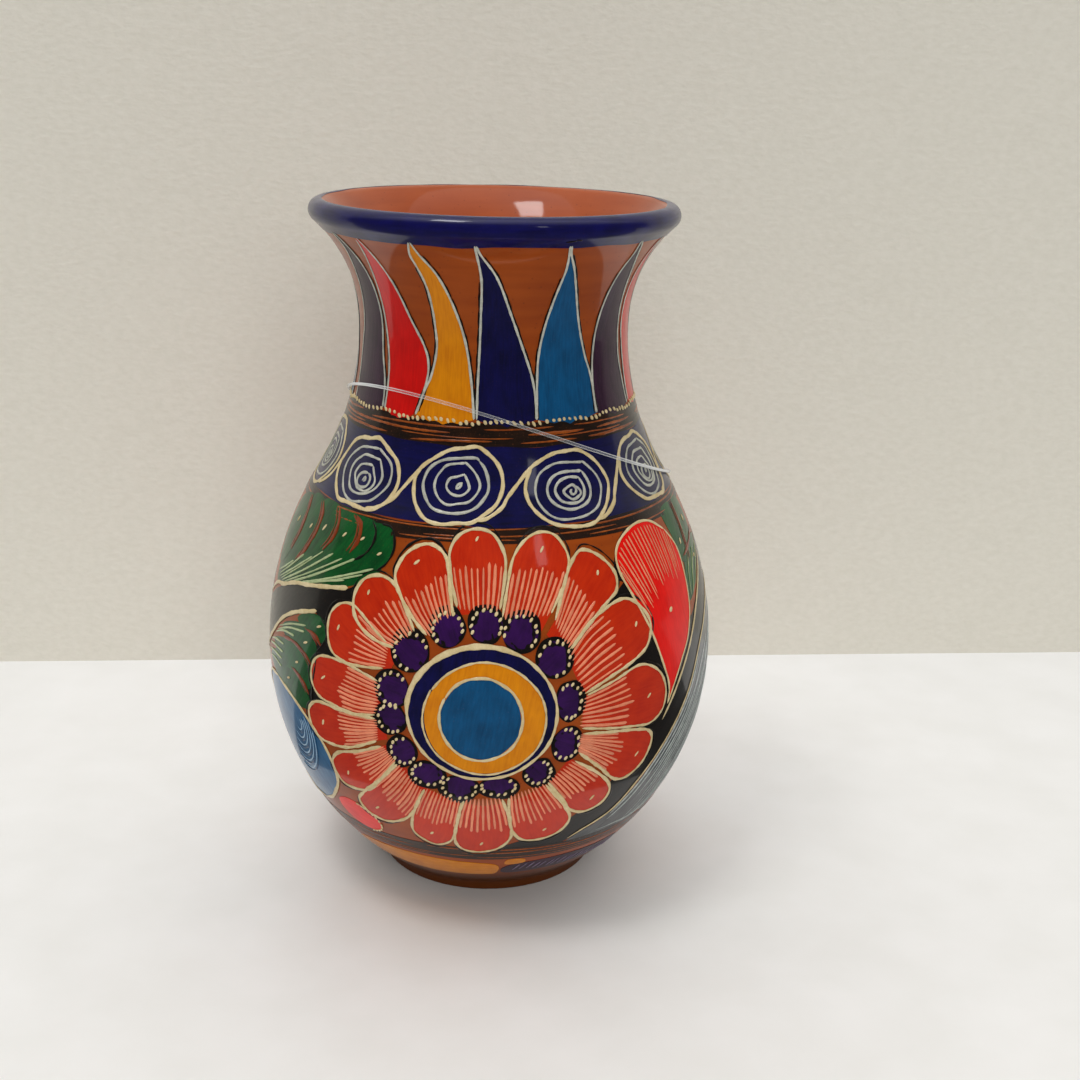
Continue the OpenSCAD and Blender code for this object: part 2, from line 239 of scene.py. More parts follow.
def threadRoute():
    # the same route as the solid's: ends square on the crimp, then down onto the wall
    crimpR = float(wallR(thread["lowZ"])) + thread["crimpLift"]
    endTurn = math.degrees(math.atan(thread["crimpLength"] / 2 / crimpR))
    endR = math.hypot(crimpR, thread["crimpLength"] / 2)
    last = thread["steps"]
    marks = []
    for i in range(last + 1):
        turn = thread["turn"] + i * 360 / last
        z = thread["lowZ"] + thread["tilt"] / 2 * (1 - math.cos(math.radians(i * 360 / last)))
        r = float(wallR(z)) + thread["lift"]
        if i in (0, last):
            r = endR
            turn = thread["turn"] + (endTurn if i == 0 else -endTurn)
        marks.append((r * math.sin(math.radians(turn)), -r * math.cos(math.radians(turn)), z))
    marks = np.array(marks)
    route = []
    for i in range(last):
        before = marks[max(i - 1, 0)]
        after = marks[min(i + 2, last)]
        route.extend(bend(before, marks[i], marks[i + 1], after, t) for t in (0, 1 / 3, 2 / 3))
    route.append(marks[-1])
    return np.array(route) * mm


def addThread():
    route = threadRoute()
    curve = bpy.data.curves.new("tagThread", "CURVE")
    curve.dimensions = "3D"
    curve.bevel_depth = thread["diameter"] / 2 * mm
    curve.bevel_resolution = thread["sides"]
    curve.use_fill_caps = True
    spline = curve.splines.new("POLY")
    spline.points.add(len(route) - 1)
    for point, place in zip(spline.points, route):
        point.co = (*place, 1.0)
    spline.use_smooth = True
    curve.materials.append(nylonMaterial("clearNylon", thread["haze"]))
    piece = addPiece("tagThread", curve, "clear_nylon", "tag_thread")
    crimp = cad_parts["thread_crimp"]
    crimp.data.materials.clear()
    crimp.data.materials.append(nylonMaterial("crimpNylon", thread["crimpHaze"]))


addThread()


# Shader groups that the paints and the clay share; a colour mix takes its factor at socket 0, its colours
# at 6 and 7, and gives the result at 2
coatSockets = {"Color": "Color", "Roughness": "Float", "Height": "Float"}
colorMix = {"data_type": "RGBA"}


def brushedPaintGroup():
    # brush streaks, cloudy patches and thin spots; the vector comes in millimetres, strokes run along Y
    group, nodes = newGroup("brushedPaint", "ShaderNodeTree", {
        "Vector": "Vector", "Color": "Color", "Deep Color": "Color", "Streaks": "Float", "Thin": "Float",
        "Tone": "Float",
    }, coatSockets)
    build(group, nodes, {
        "stretch": ("ShaderNodeMapping", {"Scale": (1.1, 0.13, 1.0)}),
        "streak": ("ShaderNodeTexNoise", {"Scale": 1.0, "Detail": 4, "Roughness": 0.6}),
        "patch": ("ShaderNodeTexNoise", {"Scale": 0.16, "Detail": 2}),
        "speck": ("ShaderNodeTexNoise", {"Scale": 1.7, "Detail": 5}),
        "streakMask": ("ShaderNodeMapRange", {"From Min": 0.38, "From Max": 0.68}),
        "patchMask": ("ShaderNodeMapRange", {"From Min": 0.35, "From Max": 0.7}),
        "both": ("ShaderNodeMath", {}, {"operation": "ADD"}),
        "amount": ("ShaderNodeMath", {}, {"operation": "MULTIPLY", "use_clamp": True}),
        "deep": ("ShaderNodeMix", {}, colorMix),
        "thinMask": ("ShaderNodeMapRange", {"From Min": 0.6, "From Max": 0.74}),
        "thinAmount": ("ShaderNodeMath", {}, {"operation": "MULTIPLY"}),
        "thin": ("ShaderNodeMix", {7: (0.36, 0.13, 0.04, 1)}, colorMix),
        "value": ("ShaderNodeMapRange", {"To Min": 0.82, "To Max": 1.18}),
        "shift": ("ShaderNodeHueSaturation", {}),
        "rough": ("ShaderNodeMapRange", {"To Min": 0.3, "To Max": 0.46}),
    }, [
        "given.Vector > stretch.Vector", "stretch.Vector > streak.Vector",
        "given.Vector > patch.Vector", "given.Vector > speck.Vector",
        "streak.Fac > streakMask.Value", "patch.Fac > patchMask.Value",
        "streakMask.Result > both.0", "patchMask.Result > both.1", "both.0 > amount.0",
        "given.Streaks > amount.1", "amount.0 > deep.0", "given.Color > deep.6", "given.Deep Color > deep.7",
        "speck.Fac > thinMask.Value", "thinMask.Result > thinAmount.0", "given.Thin > thinAmount.1",
        "thinAmount.0 > thin.0", "deep.2 > thin.6",
        "given.Tone > value.Value", "value.Result > shift.Value", "thin.2 > shift.Color",
        "streak.Fac > rough.Value", "shift.Color > put.Color", "rough.Result > put.Roughness",
        "streak.Fac > put.Height",
    ])
    return group


def firedClayGroup():
    # mottled red clay with dark grit and faint turning rings; the vector is in metres
    group, nodes = newGroup("firedClay", "ShaderNodeTree", {
        "Vector": "Vector", "Color": "Color", "Deep Color": "Color", "Grit Color": "Color",
    }, coatSockets)
    build(group, nodes, {
        "cloud": ("ShaderNodeTexNoise", {"Scale": 45, "Detail": 6}),
        "wash": ("ShaderNodeMapping", {"Scale": (28, 28, 330)}),
        "brush": ("ShaderNodeTexNoise", {"Scale": 1, "Detail": 4}),
        "grit": ("ShaderNodeTexVoronoi", {"Scale": 420}),
        "part": ("ShaderNodeMath", {1: 0.5}, {"operation": "MULTIPLY"}),
        "both": ("ShaderNodeMath", {1: 0.55}, {"operation": "MULTIPLY_ADD"}),
        "mask": ("ShaderNodeMapRange", {"From Min": 0.36, "From Max": 0.7}),
        "deep": ("ShaderNodeMix", {}, colorMix),
        "dots": ("ShaderNodeMapRange", {"From Min": 0.14, "From Max": 0.06, "To Max": 0.35}),
        "gritty": ("ShaderNodeMix", {}, colorMix),
        "rough": ("ShaderNodeMapRange", {"To Min": 0.34, "To Max": 0.55}),
    }, [
        "given.Vector > cloud.Vector", "given.Vector > wash.Vector", "wash.Vector > brush.Vector",
        "given.Vector > grit.Vector", "cloud.Fac > part.0", "brush.Fac > both.0", "part.0 > both.2",
        "both.0 > mask.Value", "mask.Result > deep.0", "given.Color > deep.6", "given.Deep Color > deep.7",
        "grit.Distance > dots.Value", "dots.Result > gritty.0", "deep.2 > gritty.6",
        "given.Grit Color > gritty.7", "cloud.Fac > rough.Value",
        "gritty.2 > put.Color", "rough.Result > put.Roughness", "brush.Fac > put.Height",
    ])
    return group


brushedPaint = brushedPaintGroup()
firedClay = firedClayGroup()
lacquer = {"coat": 0.6, "coatRoughness": 0.07, "level": 0.15, "relief": 0.12, "reliefDepth": 0.00015}


def lacquered(name, parts, wires, coat):
    # clear gloss over everything; plain numbers stand on the shader itself
    made, nodes = newMaterial(name)
    bump = ("ShaderNodeBump", {"Strength": lacquer["relief"], "Distance": lacquer["reliefDepth"]})
    setInputs(nodes["bsdf"], {"Coat Weight": coat, "Coat Roughness": lacquer["coatRoughness"],
                              "Specular IOR Level": lacquer["level"]})
    build(made.node_tree, nodes, {**parts, "bump": bump}, wires + ["bump.Normal > bsdf.Normal"])
    return made


# Paints, where they differ from a plain one
plainPaint = {"streaks": 0.5, "thin": 0.1, "coat": lacquer["coat"]}
paints = {
    "navy": {"color": (12, 12, 74), "deep": (5, 5, 40), "thin": 0.05},
    "cobalt": {"color": (12, 11, 84), "deep": (6, 5, 44), "streaks": 0.4, "thin": 0.03},
    "red": {"color": (222, 16, 10), "deep": (194, 7, 5)},
    "scarlet": {"color": (244, 20, 8), "deep": (220, 10, 4), "thin": 0.06, "coat": 0.25},
    "ochre": {"color": (228, 142, 3), "deep": (204, 114, 2)},
    "sky": {"color": (8, 84, 132), "deep": (3, 60, 98), "thin": 0.05},
    "dropBlue": {"color": (60, 114, 156), "deep": (36, 86, 128), "thin": 0.05},
    "plum": {"color": (56, 26, 52), "deep": (36, 15, 35), "thin": 0.12, "coat": 0.4},
    "berry": {"color": (56, 14, 84), "deep": (36, 8, 54), "thin": 0.05},
    "petal": {"color": (204, 48, 8), "deep": (182, 31, 3)},
    "leaf": {"color": (2, 90, 34), "deep": (1, 58, 22), "streaks": 0.6},
    "pink": {"color": (250, 60, 54), "deep": (230, 40, 40), "coat": 0.35},
    "black": {"color": (20, 15, 12), "deep": (11, 8, 7)},
    "slate": {"color": (98, 102, 104), "deep": (62, 65, 68), "streaks": 0.6, "thin": 0.08},
    "brown": {"color": (42, 22, 10), "deep": (20, 12, 7), "streaks": 0.6, "thin": 0.2},
    "rust": {"color": (138, 58, 20), "deep": (104, 38, 12), "thin": 0.2},
    "amber": {"color": (166, 82, 16), "deep": (124, 54, 8), "streaks": 0.7, "thin": 0.2},
    "cream": {"color": (226, 208, 164), "deep": (200, 176, 122), "thin": 0.06},
    "chalk": {"color": (206, 206, 192), "deep": (164, 165, 154), "streaks": 0.6, "thin": 0.06},
    "salmon": {"color": (236, 148, 112), "deep": (220, 118, 84), "streaks": 0.4},
    "frost": {"color": (196, 202, 198), "deep": (150, 158, 156)},
    "sage": {"color": (184, 194, 146), "deep": (138, 164, 112)},
    "iceBlue": {"color": (162, 192, 214), "deep": (118, 162, 198), "thin": 0.05},
    "lilac": {"color": (150, 134, 160), "deep": (106, 88, 116), "thin": 0.15},
}


def paintMaterial(paint, flat):
    # flat fills read their own brush map, lines and dabs read the object's place
    name = paint + ("Fill" if flat else "Line")
    if name in bpy.data.materials:
        return bpy.data.materials[name]
    look = {**plainPaint, **paints[paint]}
    colors = {"Color": srgb(*look["color"]), "Deep Color": srgb(*look["deep"])}
    parts = {
        "look": ("ShaderNodeGroup", {**colors, "Streaks": look["streaks"], "Thin": look["thin"]},
                 {"node_tree": brushedPaint}),
        "tone": ("ShaderNodeAttribute", {}, {"attribute_name": "tone"}),
    }
    wires = ["tone.Fac > look.Tone", "look.Color > bsdf.Base Color", "look.Roughness > bsdf.Roughness",
             "look.Height > bump.Height"]
    if flat:
        parts["brush"] = ("ShaderNodeUVMap", {}, {"uv_map": "brush"})
        wires += ["brush.UV > look.Vector"]
    else:
        parts["place"] = ("ShaderNodeTexCoord", {})
        parts["scale"] = ("ShaderNodeVectorMath", {"Scale": 1 / mm}, {"operation": "SCALE"})
        wires += ["place.Object > scale.0", "scale.Vector > look.Vector"]
    return lacquered(name, parts, wires, look["coat"])


# Flat drawing tools: points are (degrees, mm), and curves run through them
def smoothPath(points, step=0.9, closed=False):
    flat = np.array(points, float) * (flatX, 1)
    if closed:
        run = np.vstack([flat[-1], flat, flat[:2]])
    else:
        run = np.vstack([2 * flat[0] - flat[1], flat, 2 * flat[-1] - flat[-2]])
    t = np.linspace(0, 1, 12, endpoint=False)[:, None]
    fine = np.vstack([bend(*run[i:i + 4], t) for i in range(len(run) - 3)] + [run[-2][None]])
    far = lengthsAlong(fine)
    marks = np.linspace(0, far[-1], max(int(far[-1] / step), 5) + 1)
    if closed:
        marks = marks[:-1]
    even = np.column_stack([np.interp(marks, far, fine[:, 0]), np.interp(marks, far, fine[:, 1])])
    return even / (flatX, 1)


def shake(points, rng, amount):
    span = (-amount, amount)
    return [(deg + rng.uniform(*span) / flatX, z + rng.uniform(*span)) for deg, z in points]


def turned(points, deg):
    return [(x + deg, z) for x, z in points]


def insideLoop(loop, spots):
    x, y = spots[:, 0], spots[:, 1]
    hit = np.zeros(len(spots), bool)
    for (ax, ay), (bx, by) in zip(loop, np.roll(loop, -1, axis=0)):
        if ay != by:
            cross = (ay > y) != (by > y)
            hit ^= cross & (x < (bx - ax) * (y - ay) / (by - ay) + ax)
    return hit


def newMesh(name, verts, edges=(), faces=()):
    mesh = bpy.data.meshes.new(name)
    mesh.from_pydata([tuple(v) for v in verts], edges, faces)
    if faces:
        mesh.polygons.foreach_set("use_smooth", [True] * len(faces))
    return mesh


def setAttribute(mesh, name, values):
    # one number or one vector for each point
    values = np.asarray(values, np.float32)
    kind, field = ("FLOAT", "value") if values.ndim == 1 else ("FLOAT_VECTOR", "vector")
    mesh.attributes.new(name, kind, "POINT").data.foreach_set(field, values.ravel())


def addCoat(name, verts, faces, tones, brush, paint, slot, nodes):
    # a coat of paint with its brush map, which gives the direction of the strokes
    mesh = newMesh(name, verts, (), faces)
    setAttribute(mesh, "tone", tones)
    corner = np.zeros(len(mesh.loops), np.int32)
    mesh.loops.foreach_get("vertex_index", corner)
    layer = mesh.uv_layers.new(name="brush")
    layer.data.foreach_set("uv", np.asarray(brush, np.float32)[corner].ravel())
    mesh.set_sharp_from_angle(angle=math.radians(40))
    mesh.materials.append(paintMaterial(paint, True))
    addPiece(name, mesh, slot, *nodes)
    print(name, "laid,", len(mesh.polygons), "faces")


# A fill's film: how deep it reaches into the clay, how thin its edge is, and how its maps are kept apart
film = {"under": -0.12, "edge": 0.8, "apart": 0.4, "shift": (41, 17), "merge": 1e-5}


def layFills(name, shapes, kind):
    # each shape is a closed loop: a thin coat with its edge run down into the clay
    grid = kind["grid"]
    verts, faces, tones, brush = [], [], [], []
    for number, shape in enumerate(shapes):
        loop = np.asarray(shape["loop"], float) * (flatX, 1)
        low, high = loop.min(0) + grid / 2, loop.max(0)
        gx, gz = np.meshgrid(np.arange(low[0], high[0], grid), np.arange(low[1], high[1], grid))
        spots = np.column_stack([gx.ravel(), gz.ravel()])
        spots = spots[insideLoop(loop, spots)]
        near = np.linalg.norm(spots[:, None] - loop[None], axis=2).min(1)
        spots = spots[near > grid * film["apart"]]
        count = len(loop)
        made = delaunay_2d_cdt([Vector(p) for p in np.vstack([loop, spots])],
                               [(i, (i + 1) % count) for i in range(count)], [], 1, film["merge"])
        flat = np.array([(v.x, v.y) for v in made[0]])
        tris = [tuple(t) for t in made[2]]
        ways = {(t[k], t[(k + 1) % 3]) for t in tris for k in range(3)}
        rim = [(a, b) for a, b in ways if (b, a) not in ways]
        edge = np.zeros(len(flat), bool)
        for a, b in rim:
            edge[[a, b]] = True
        height = shape["lift"] * np.where(edge, film["edge"], 1.0)
        deg, z = flat[:, 0] / flatX, flat[:, 1]
        start = len(verts)
        size = len(flat)
        verts.extend(onVase(deg, z, height))
        verts.extend(onVase(deg, z, film["under"]))
        faces.extend(tuple(start + i for i in t) for t in tris)
        faces.extend(tuple(start + size + i for i in reversed(t)) for t in tris)
        faces.extend((start + b, start + a, start + size + a, start + size + b) for a, b in rim)
        tones.extend([shape["tone"]] * (2 * size))
        along = math.radians(shape["turn"])
        off = flat - flat.mean(0)
        across = off[:, 0] * math.sin(along) - off[:, 1] * math.cos(along) + film["shift"][0] * number
        down = off[:, 0] * math.cos(along) + off[:, 1] * math.sin(along) + film["shift"][1] * number
        brush.extend(list(np.column_stack([across, down])) * 2)
    addCoat(name, verts, faces, tones, brush, kind["paint"], kind["slot"], kind["nodes"])


# Bands that run round the pot, in even turns from the back
bandTurns = 300
bandDeg = (np.arange(bandTurns) * 360 / bandTurns)[:, None]
ringTurns = 180 + bandDeg


def wavyRing(rng, amount, waves):
    out = np.zeros(bandDeg.shape)
    for k in waves:
        size = amount / len(waves) * rng.uniform(0.6, 1.4)
        out += size * np.sin(np.radians(bandDeg * k) + rng.uniform(0, 6.3))
    return out


def closed(outside, inside):
    return np.concatenate([outside, inside[:, ::-1]], axis=1)


def wavyBand(part, rng, waves, rows, lift):
    # section of a band with two wavy edges
    low = part["low"] + wavyRing(rng, part["wave"], waves[0])
    high = part["high"] + wavyRing(rng, part["wave"], waves[1])
    t = np.linspace(0, 1, rows)
    z = low * (1 - t) + high * t
    return closed(onVase(ringTurns, z, lift), onVase(ringTurns, z, film["under"]))


def layRing(name, section, paint, slot, node):
    # section: (around, along, 3) points of a closed band section, swept round the pot
    around, along = section.shape[:2]
    verts = section.reshape(-1, 3)
    i = np.arange(around)[:, None]
    j = np.arange(along)[None]
    near = i * along
    far = (i + 1) % around * along
    after = (j + 1) % along
    faces = np.stack([near + j, far + j, far + after, near + after], -1).reshape(-1, 4)
    first, second, third, fourth = (verts[faces[:, k]] for k in range(4))
    volume = np.sum(first * (np.cross(second, third) + np.cross(third, fourth)))
    if volume < 0:
        faces = faces[:, ::-1]
    r = np.linalg.norm(section[..., :2], axis=2) / mm
    turn = np.broadcast_to(i * 2 * math.pi / around, r.shape)
    brush = np.stack([section[..., 2] / mm, turn * r.mean()], -1).reshape(-1, 2)
    addCoat(name, verts, faces.tolist(), [0.5] * len(verts), brush, paint, slot, (node,))


# Geometry Nodes: one tree sweeps brush lines, the other sets dabs of paint
def attribute(name, kind):
    return ("GeometryNodeInputNamedAttribute", {"Name": name}, {"data_type": kind})


def brushLineTree():
    tree, nodes = newGroup("brushLine", "GeometryNodeTree", {
        "Geometry": "Geometry", "Flatness": "Float", "Sides": "Int", "Paint": "Material",
    }, {"Geometry": "Geometry"})
    build(tree, nodes, {
        "curve": ("GeometryNodeMeshToCurve", {}),
        "facing": attribute("facing", "FLOAT_VECTOR"),
        "half": attribute("halfWidth", "FLOAT"),
        "face": ("GeometryNodeSetCurveNormal", {}, {"mode": "FREE"}),
        "ring": ("GeometryNodeCurvePrimitiveCircle", {"Radius": 1}),
        "size": ("ShaderNodeCombineXYZ", {"Y": 1, "Z": 1}),
        "press": ("GeometryNodeTransform", {}),
        "sweep": ("GeometryNodeCurveToMesh", {"Fill Caps": True}),
        "smooth": ("GeometryNodeSetShadeSmooth", {}),
        "realize": ("GeometryNodeRealizeInstances", {}),
        "paint": ("GeometryNodeSetMaterial", {}),
    }, [
        "given.Geometry > curve.Mesh", "curve.Curve > face.Curve", "facing.Attribute > face.Normal",
        "given.Sides > ring.Resolution", "given.Flatness > size.X", "ring.Curve > press.Geometry",
        "size.Vector > press.Scale", "face.Curve > sweep.Curve", "press.Geometry > sweep.Profile Curve",
        "half.Attribute > sweep.Scale", "sweep.Mesh > smooth.Geometry",
        "smooth.Geometry > realize.Geometry", "realize.Geometry > paint.Geometry",
        "given.Paint > paint.Material", "paint.Geometry > put.Geometry",
    ])
    return tree


def paintDabTree():
    tree, nodes = newGroup("paintDab", "GeometryNodeTree", {
        "Geometry": "Geometry", "Paint": "Material",
    }, {"Geometry": "Geometry"})
    build(tree, nodes, {
        "ball": ("GeometryNodeMeshUVSphere", {"Radius": 1, "Segments": 8, "Rings": 5}),
        "facing": attribute("facing", "FLOAT_VECTOR"),
        "along": attribute("along", "FLOAT_VECTOR"),
        "size": attribute("size", "FLOAT_VECTOR"),
        "turn": ("FunctionNodeAxesToRotation", {}, {"primary_axis": "Z", "secondary_axis": "X"}),
        "place": ("GeometryNodeInstanceOnPoints", {}),
        "realize": ("GeometryNodeRealizeInstances", {}),
        "smooth": ("GeometryNodeSetShadeSmooth", {}),
        "paint": ("GeometryNodeSetMaterial", {}),
    }, [
        "facing.Attribute > turn.Primary Axis", "along.Attribute > turn.Secondary Axis",
        "given.Geometry > place.Points", "ball.Mesh > place.Instance", "turn.Rotation > place.Rotation",
        "size.Attribute > place.Scale", "place.Instances > realize.Geometry",
        "realize.Geometry > smooth.Geometry", "smooth.Geometry > paint.Geometry",
        "given.Paint > paint.Material", "paint.Geometry > put.Geometry",
    ])
    return tree


brushLine = brushLineTree()
paintDab = paintDabTree()


def grow(name, seedMesh, tree, kind, **inputs):
    # runs the tree on the seed mesh and keeps the result as a plain mesh
    seed = addObject(name + "Seed", seedMesh)
    modifier = seed.modifiers.new("grow", "NODES")
    modifier.node_group = tree
    inputs["Paint"] = paintMaterial(kind["paint"], False)
    for socket in tree.interface.items_tree:
        if socket.in_out == "INPUT" and socket.name in inputs:
            modifier[socket.identifier] = inputs[socket.name]
    bpy.context.view_layer.update()
    grown = bpy.data.meshes.new_from_object(seed.evaluated_get(bpy.context.evaluated_depsgraph_get()))
    bpy.data.objects.remove(seed)
    grown.name = name
    addPiece(name, grown, kind["slot"], *kind["nodes"])
    print(name, "drawn,", len(grown.polygons), "faces")


# A brush line: its finest step and ends, in widths, and the waves of its uneven edge
brushTip = {
    "step": 0.7, "leastStep": 0.4, "leastEnd": 0.12, "wave": (5, 9), "phase": (0, 6.3), "turns": (6.28, 15),
    "ahead": 0.3,
}


def stroke(points, width, kind, rng):
    # the kind's tail is the length of the taper at each end, in widths
    path = smoothPath(points, min(kind["step"], max(width * brushTip["step"], brushTip["leastStep"])))
    far = lengthsAlong(path * (flatX, 1))
    waves = far / rng.uniform(*brushTip["wave"])
    phase = rng.uniform(*brushTip["phase"])
    slow, quick = (np.sin(waves * turns + phase) for turns in brushTip["turns"])
    half = width / 2 * (1 + kind["uneven"] * slow + kind["uneven"] * 0.5 * quick)
    ends = 1.0
    for reach, tail in zip((far, far[-1] - far), kind["tail"]):
        share = np.clip(reach / max(tail * width, 1e-6), 0, 1)
        ends = ends * np.sqrt(1 - (1 - share) ** 2)
    return {"path": path, "half": half * np.maximum(ends, brushTip["leastEnd"])}


def layLines(name, strokes, kind):
    verts, edges, half, facing, tones = [], [], [], [], []
    for line in strokes:
        start = len(verts)
        deg, z = line["path"].T
        verts.extend(onVase(deg, z, line["lift"]))
        facing.extend(facingOf(deg, z))
        half.extend(line["half"] * mm)
        tones.extend([line["tone"]] * len(deg))
        edges.extend((start + i, start + i + 1) for i in range(len(deg) - 1))
    mesh = newMesh(name + "Seed", verts, edges)
    setAttribute(mesh, "halfWidth", half)
    setAttribute(mesh, "tone", tones)
    setAttribute(mesh, "facing", facing)
    grow(name, mesh, brushLine, kind, Flatness=kind["flatness"], Sides=kind["sides"])


def layDabs(name, dabs, kind):
    deg, z, length, width, turn, tone = np.array(dabs, float).T
    aheadX = np.cos(np.radians(turn)) * brushTip["ahead"] / flatX
    aheadZ = np.sin(np.radians(turn)) * brushTip["ahead"]
    spots = onVase(deg, z, kind["lift"])
    mesh = newMesh(name + "Seed", spots)
    height = np.full(len(deg), kind["height"])
    setAttribute(mesh, "size", np.column_stack([length / 2, width / 2, height]) * mm)
    setAttribute(mesh, "facing", facingOf(deg, z))
    setAttribute(mesh, "along", onVase(deg + aheadX, z + aheadZ, kind["lift"]) - spots)
    setAttribute(mesh, "tone", tone)
    grow(name, mesh, paintDab, kind)


# Kinds of marks: a pair of numbers in a kind's width, length, turn or tone is a range to draw from
def asKind(lay, paint, slot, node, settings):
    nodes = (node,) if node else ()
    return {"lay": lay, "paint": paint, "slot": slot, "nodes": nodes, "tone": 0.5, **settings}


def asFill(paint, slot, node=None, **settings):
    return asKind(layFills, paint, slot, node, {"lift": 0.12, "grid": 2.4, "turn": 90, **settings})


def asLine(paint, slot, node=None, **settings):
    plain = {"lift": 0.2, "flatness": 0.22, "sides": 8, "step": 0.8, "uneven": 0.12}
    return asKind(layLines, paint, slot, node, {**plain, **settings})


def asDab(paint, slot, node=None, **settings):
    return asKind(layDabs, paint, slot, node, {"lift": 0.2, "height": 0.16, **settings})


def pick(value, rng):
    return rng.uniform(*value) if isinstance(value, tuple) else value


class Sheet:
    # collects the marks of one motif, and lays each kind as a piece of its own
    def __init__(self, kinds):
        self.kinds = kinds
        self.marks = {name: [] for name in kinds}

    def fill(self, name, loop, rng, **changes):
        kind = {**self.kinds[name], **changes}
        self.marks[name].append({**kind, "loop": loop, "tone": pick(kind["tone"], rng)})

    def line(self, name, points, rng, **changes):
        kind = {**self.kinds[name], **changes}
        width = pick(kind["width"], rng)
        tone = pick(kind["tone"], rng)
        self.marks[name].append({**stroke(points, width, kind, rng), "lift": kind["lift"], "tone": tone})

    def dab(self, name, deg, z, rng, **changes):
        kind = {**self.kinds[name], **changes}
        drawn = (pick(kind[key], rng) for key in ("length", "width", "turn", "tone"))
        self.marks[name].append((deg, z, *drawn))

    def lay(self):
        for name, kind in self.kinds.items():
            kind["lay"](name, self.marks[name], kind)


# The turned pot
clay = {
    "outside": (164, 74, 14), "outsideDeep": (138, 57, 7), "inside": (179, 83, 30),
    # the foot colour is partly a brown wash and partly painted shade: the clay darkens down into the contact
    # shadow
    "insideDeep": (159, 68, 22), "grit": (80, 37, 17), "footWashAndShade": (90, 42, 4),
    "washShadeFrom": 0.017, "washShadeTo": 0.008, "footCoat": 0.12,
    "footRound": 0.6, "footCurl": [(0, 1.3), (0.05, 2.0), (0.35, 2.9), (0.85, 3.5)], "curlTop": 4.0,
    "floorRound": 5.0, "floorEase": 1.35, "footStep": 0.25, "lipStep": 0.4, "step": 1.6, "gap": 1.2,
    "rows": {"low": 56, "high": 100, "inHollow": 24, "inShoulder": 30, "inLow": 34, "floor": 7},
}


def clayMaterial():
    # the outside clay darkens towards the foot, partly a brown wash and partly painted shade; the gloss fades
    # over the same heights
    wash = {"From Min": clay["washShadeFrom"], "From Max": clay["washShadeTo"]}
    parts = {
        "place": ("ShaderNodeTexCoord", {}),
        "parts": ("ShaderNodeSeparateXYZ", {}),
        "washed": ("ShaderNodeAttribute", {}, {"attribute_name": "washed"}),
        "low": ("ShaderNodeMapRange", wash),
        "foot": ("ShaderNodeMix", {7: srgb(*clay["footWashAndShade"])}, colorMix),
        "mix": ("ShaderNodeMix", {}, colorMix),
        "gloss": ("ShaderNodeMapRange", {**wash, "To Min": lacquer["coat"], "To Max": clay["footCoat"]}),
    }
    for side in ("outside", "inside"):
        keys = {"Color": side, "Deep Color": side + "Deep", "Grit Color": "grit"}
        colors = {label: srgb(*clay[key]) for label, key in keys.items()}
        parts[side] = ("ShaderNodeGroup", colors, {"node_tree": firedClay})
    return lacquered("lacqueredClay", parts, [
        "place.Object > outside.Vector", "place.Object > inside.Vector", "place.Object > parts.0",
        "parts.Z > low.Value", "low.Result > foot.0", "outside.Color > foot.6",
        "washed.Fac > mix.0", "inside.Color > mix.6", "foot.2 > mix.7", "mix.2 > bsdf.Base Color",
        "outside.Roughness > bsdf.Roughness", "outside.Height > bump.Height",
        "parts.Z > gloss.Value", "gloss.Result > bsdf.Coat Weight",
    ], lacquer["coat"])


def arcRun(x, z, r, first, last, step):
    count = max(int(abs(math.radians(last - first)) * r / step), 2)
    a = np.radians(np.linspace(first, last, count + 1))
    return [(x + r * math.cos(t), z + r * math.sin(t)) for t in a]


def arcDown(x, level, r, way, first, last, count):
    return [(x + way * math.sqrt(r ** 2 - (z - level) ** 2), z) for z in np.linspace(first, last, count)]


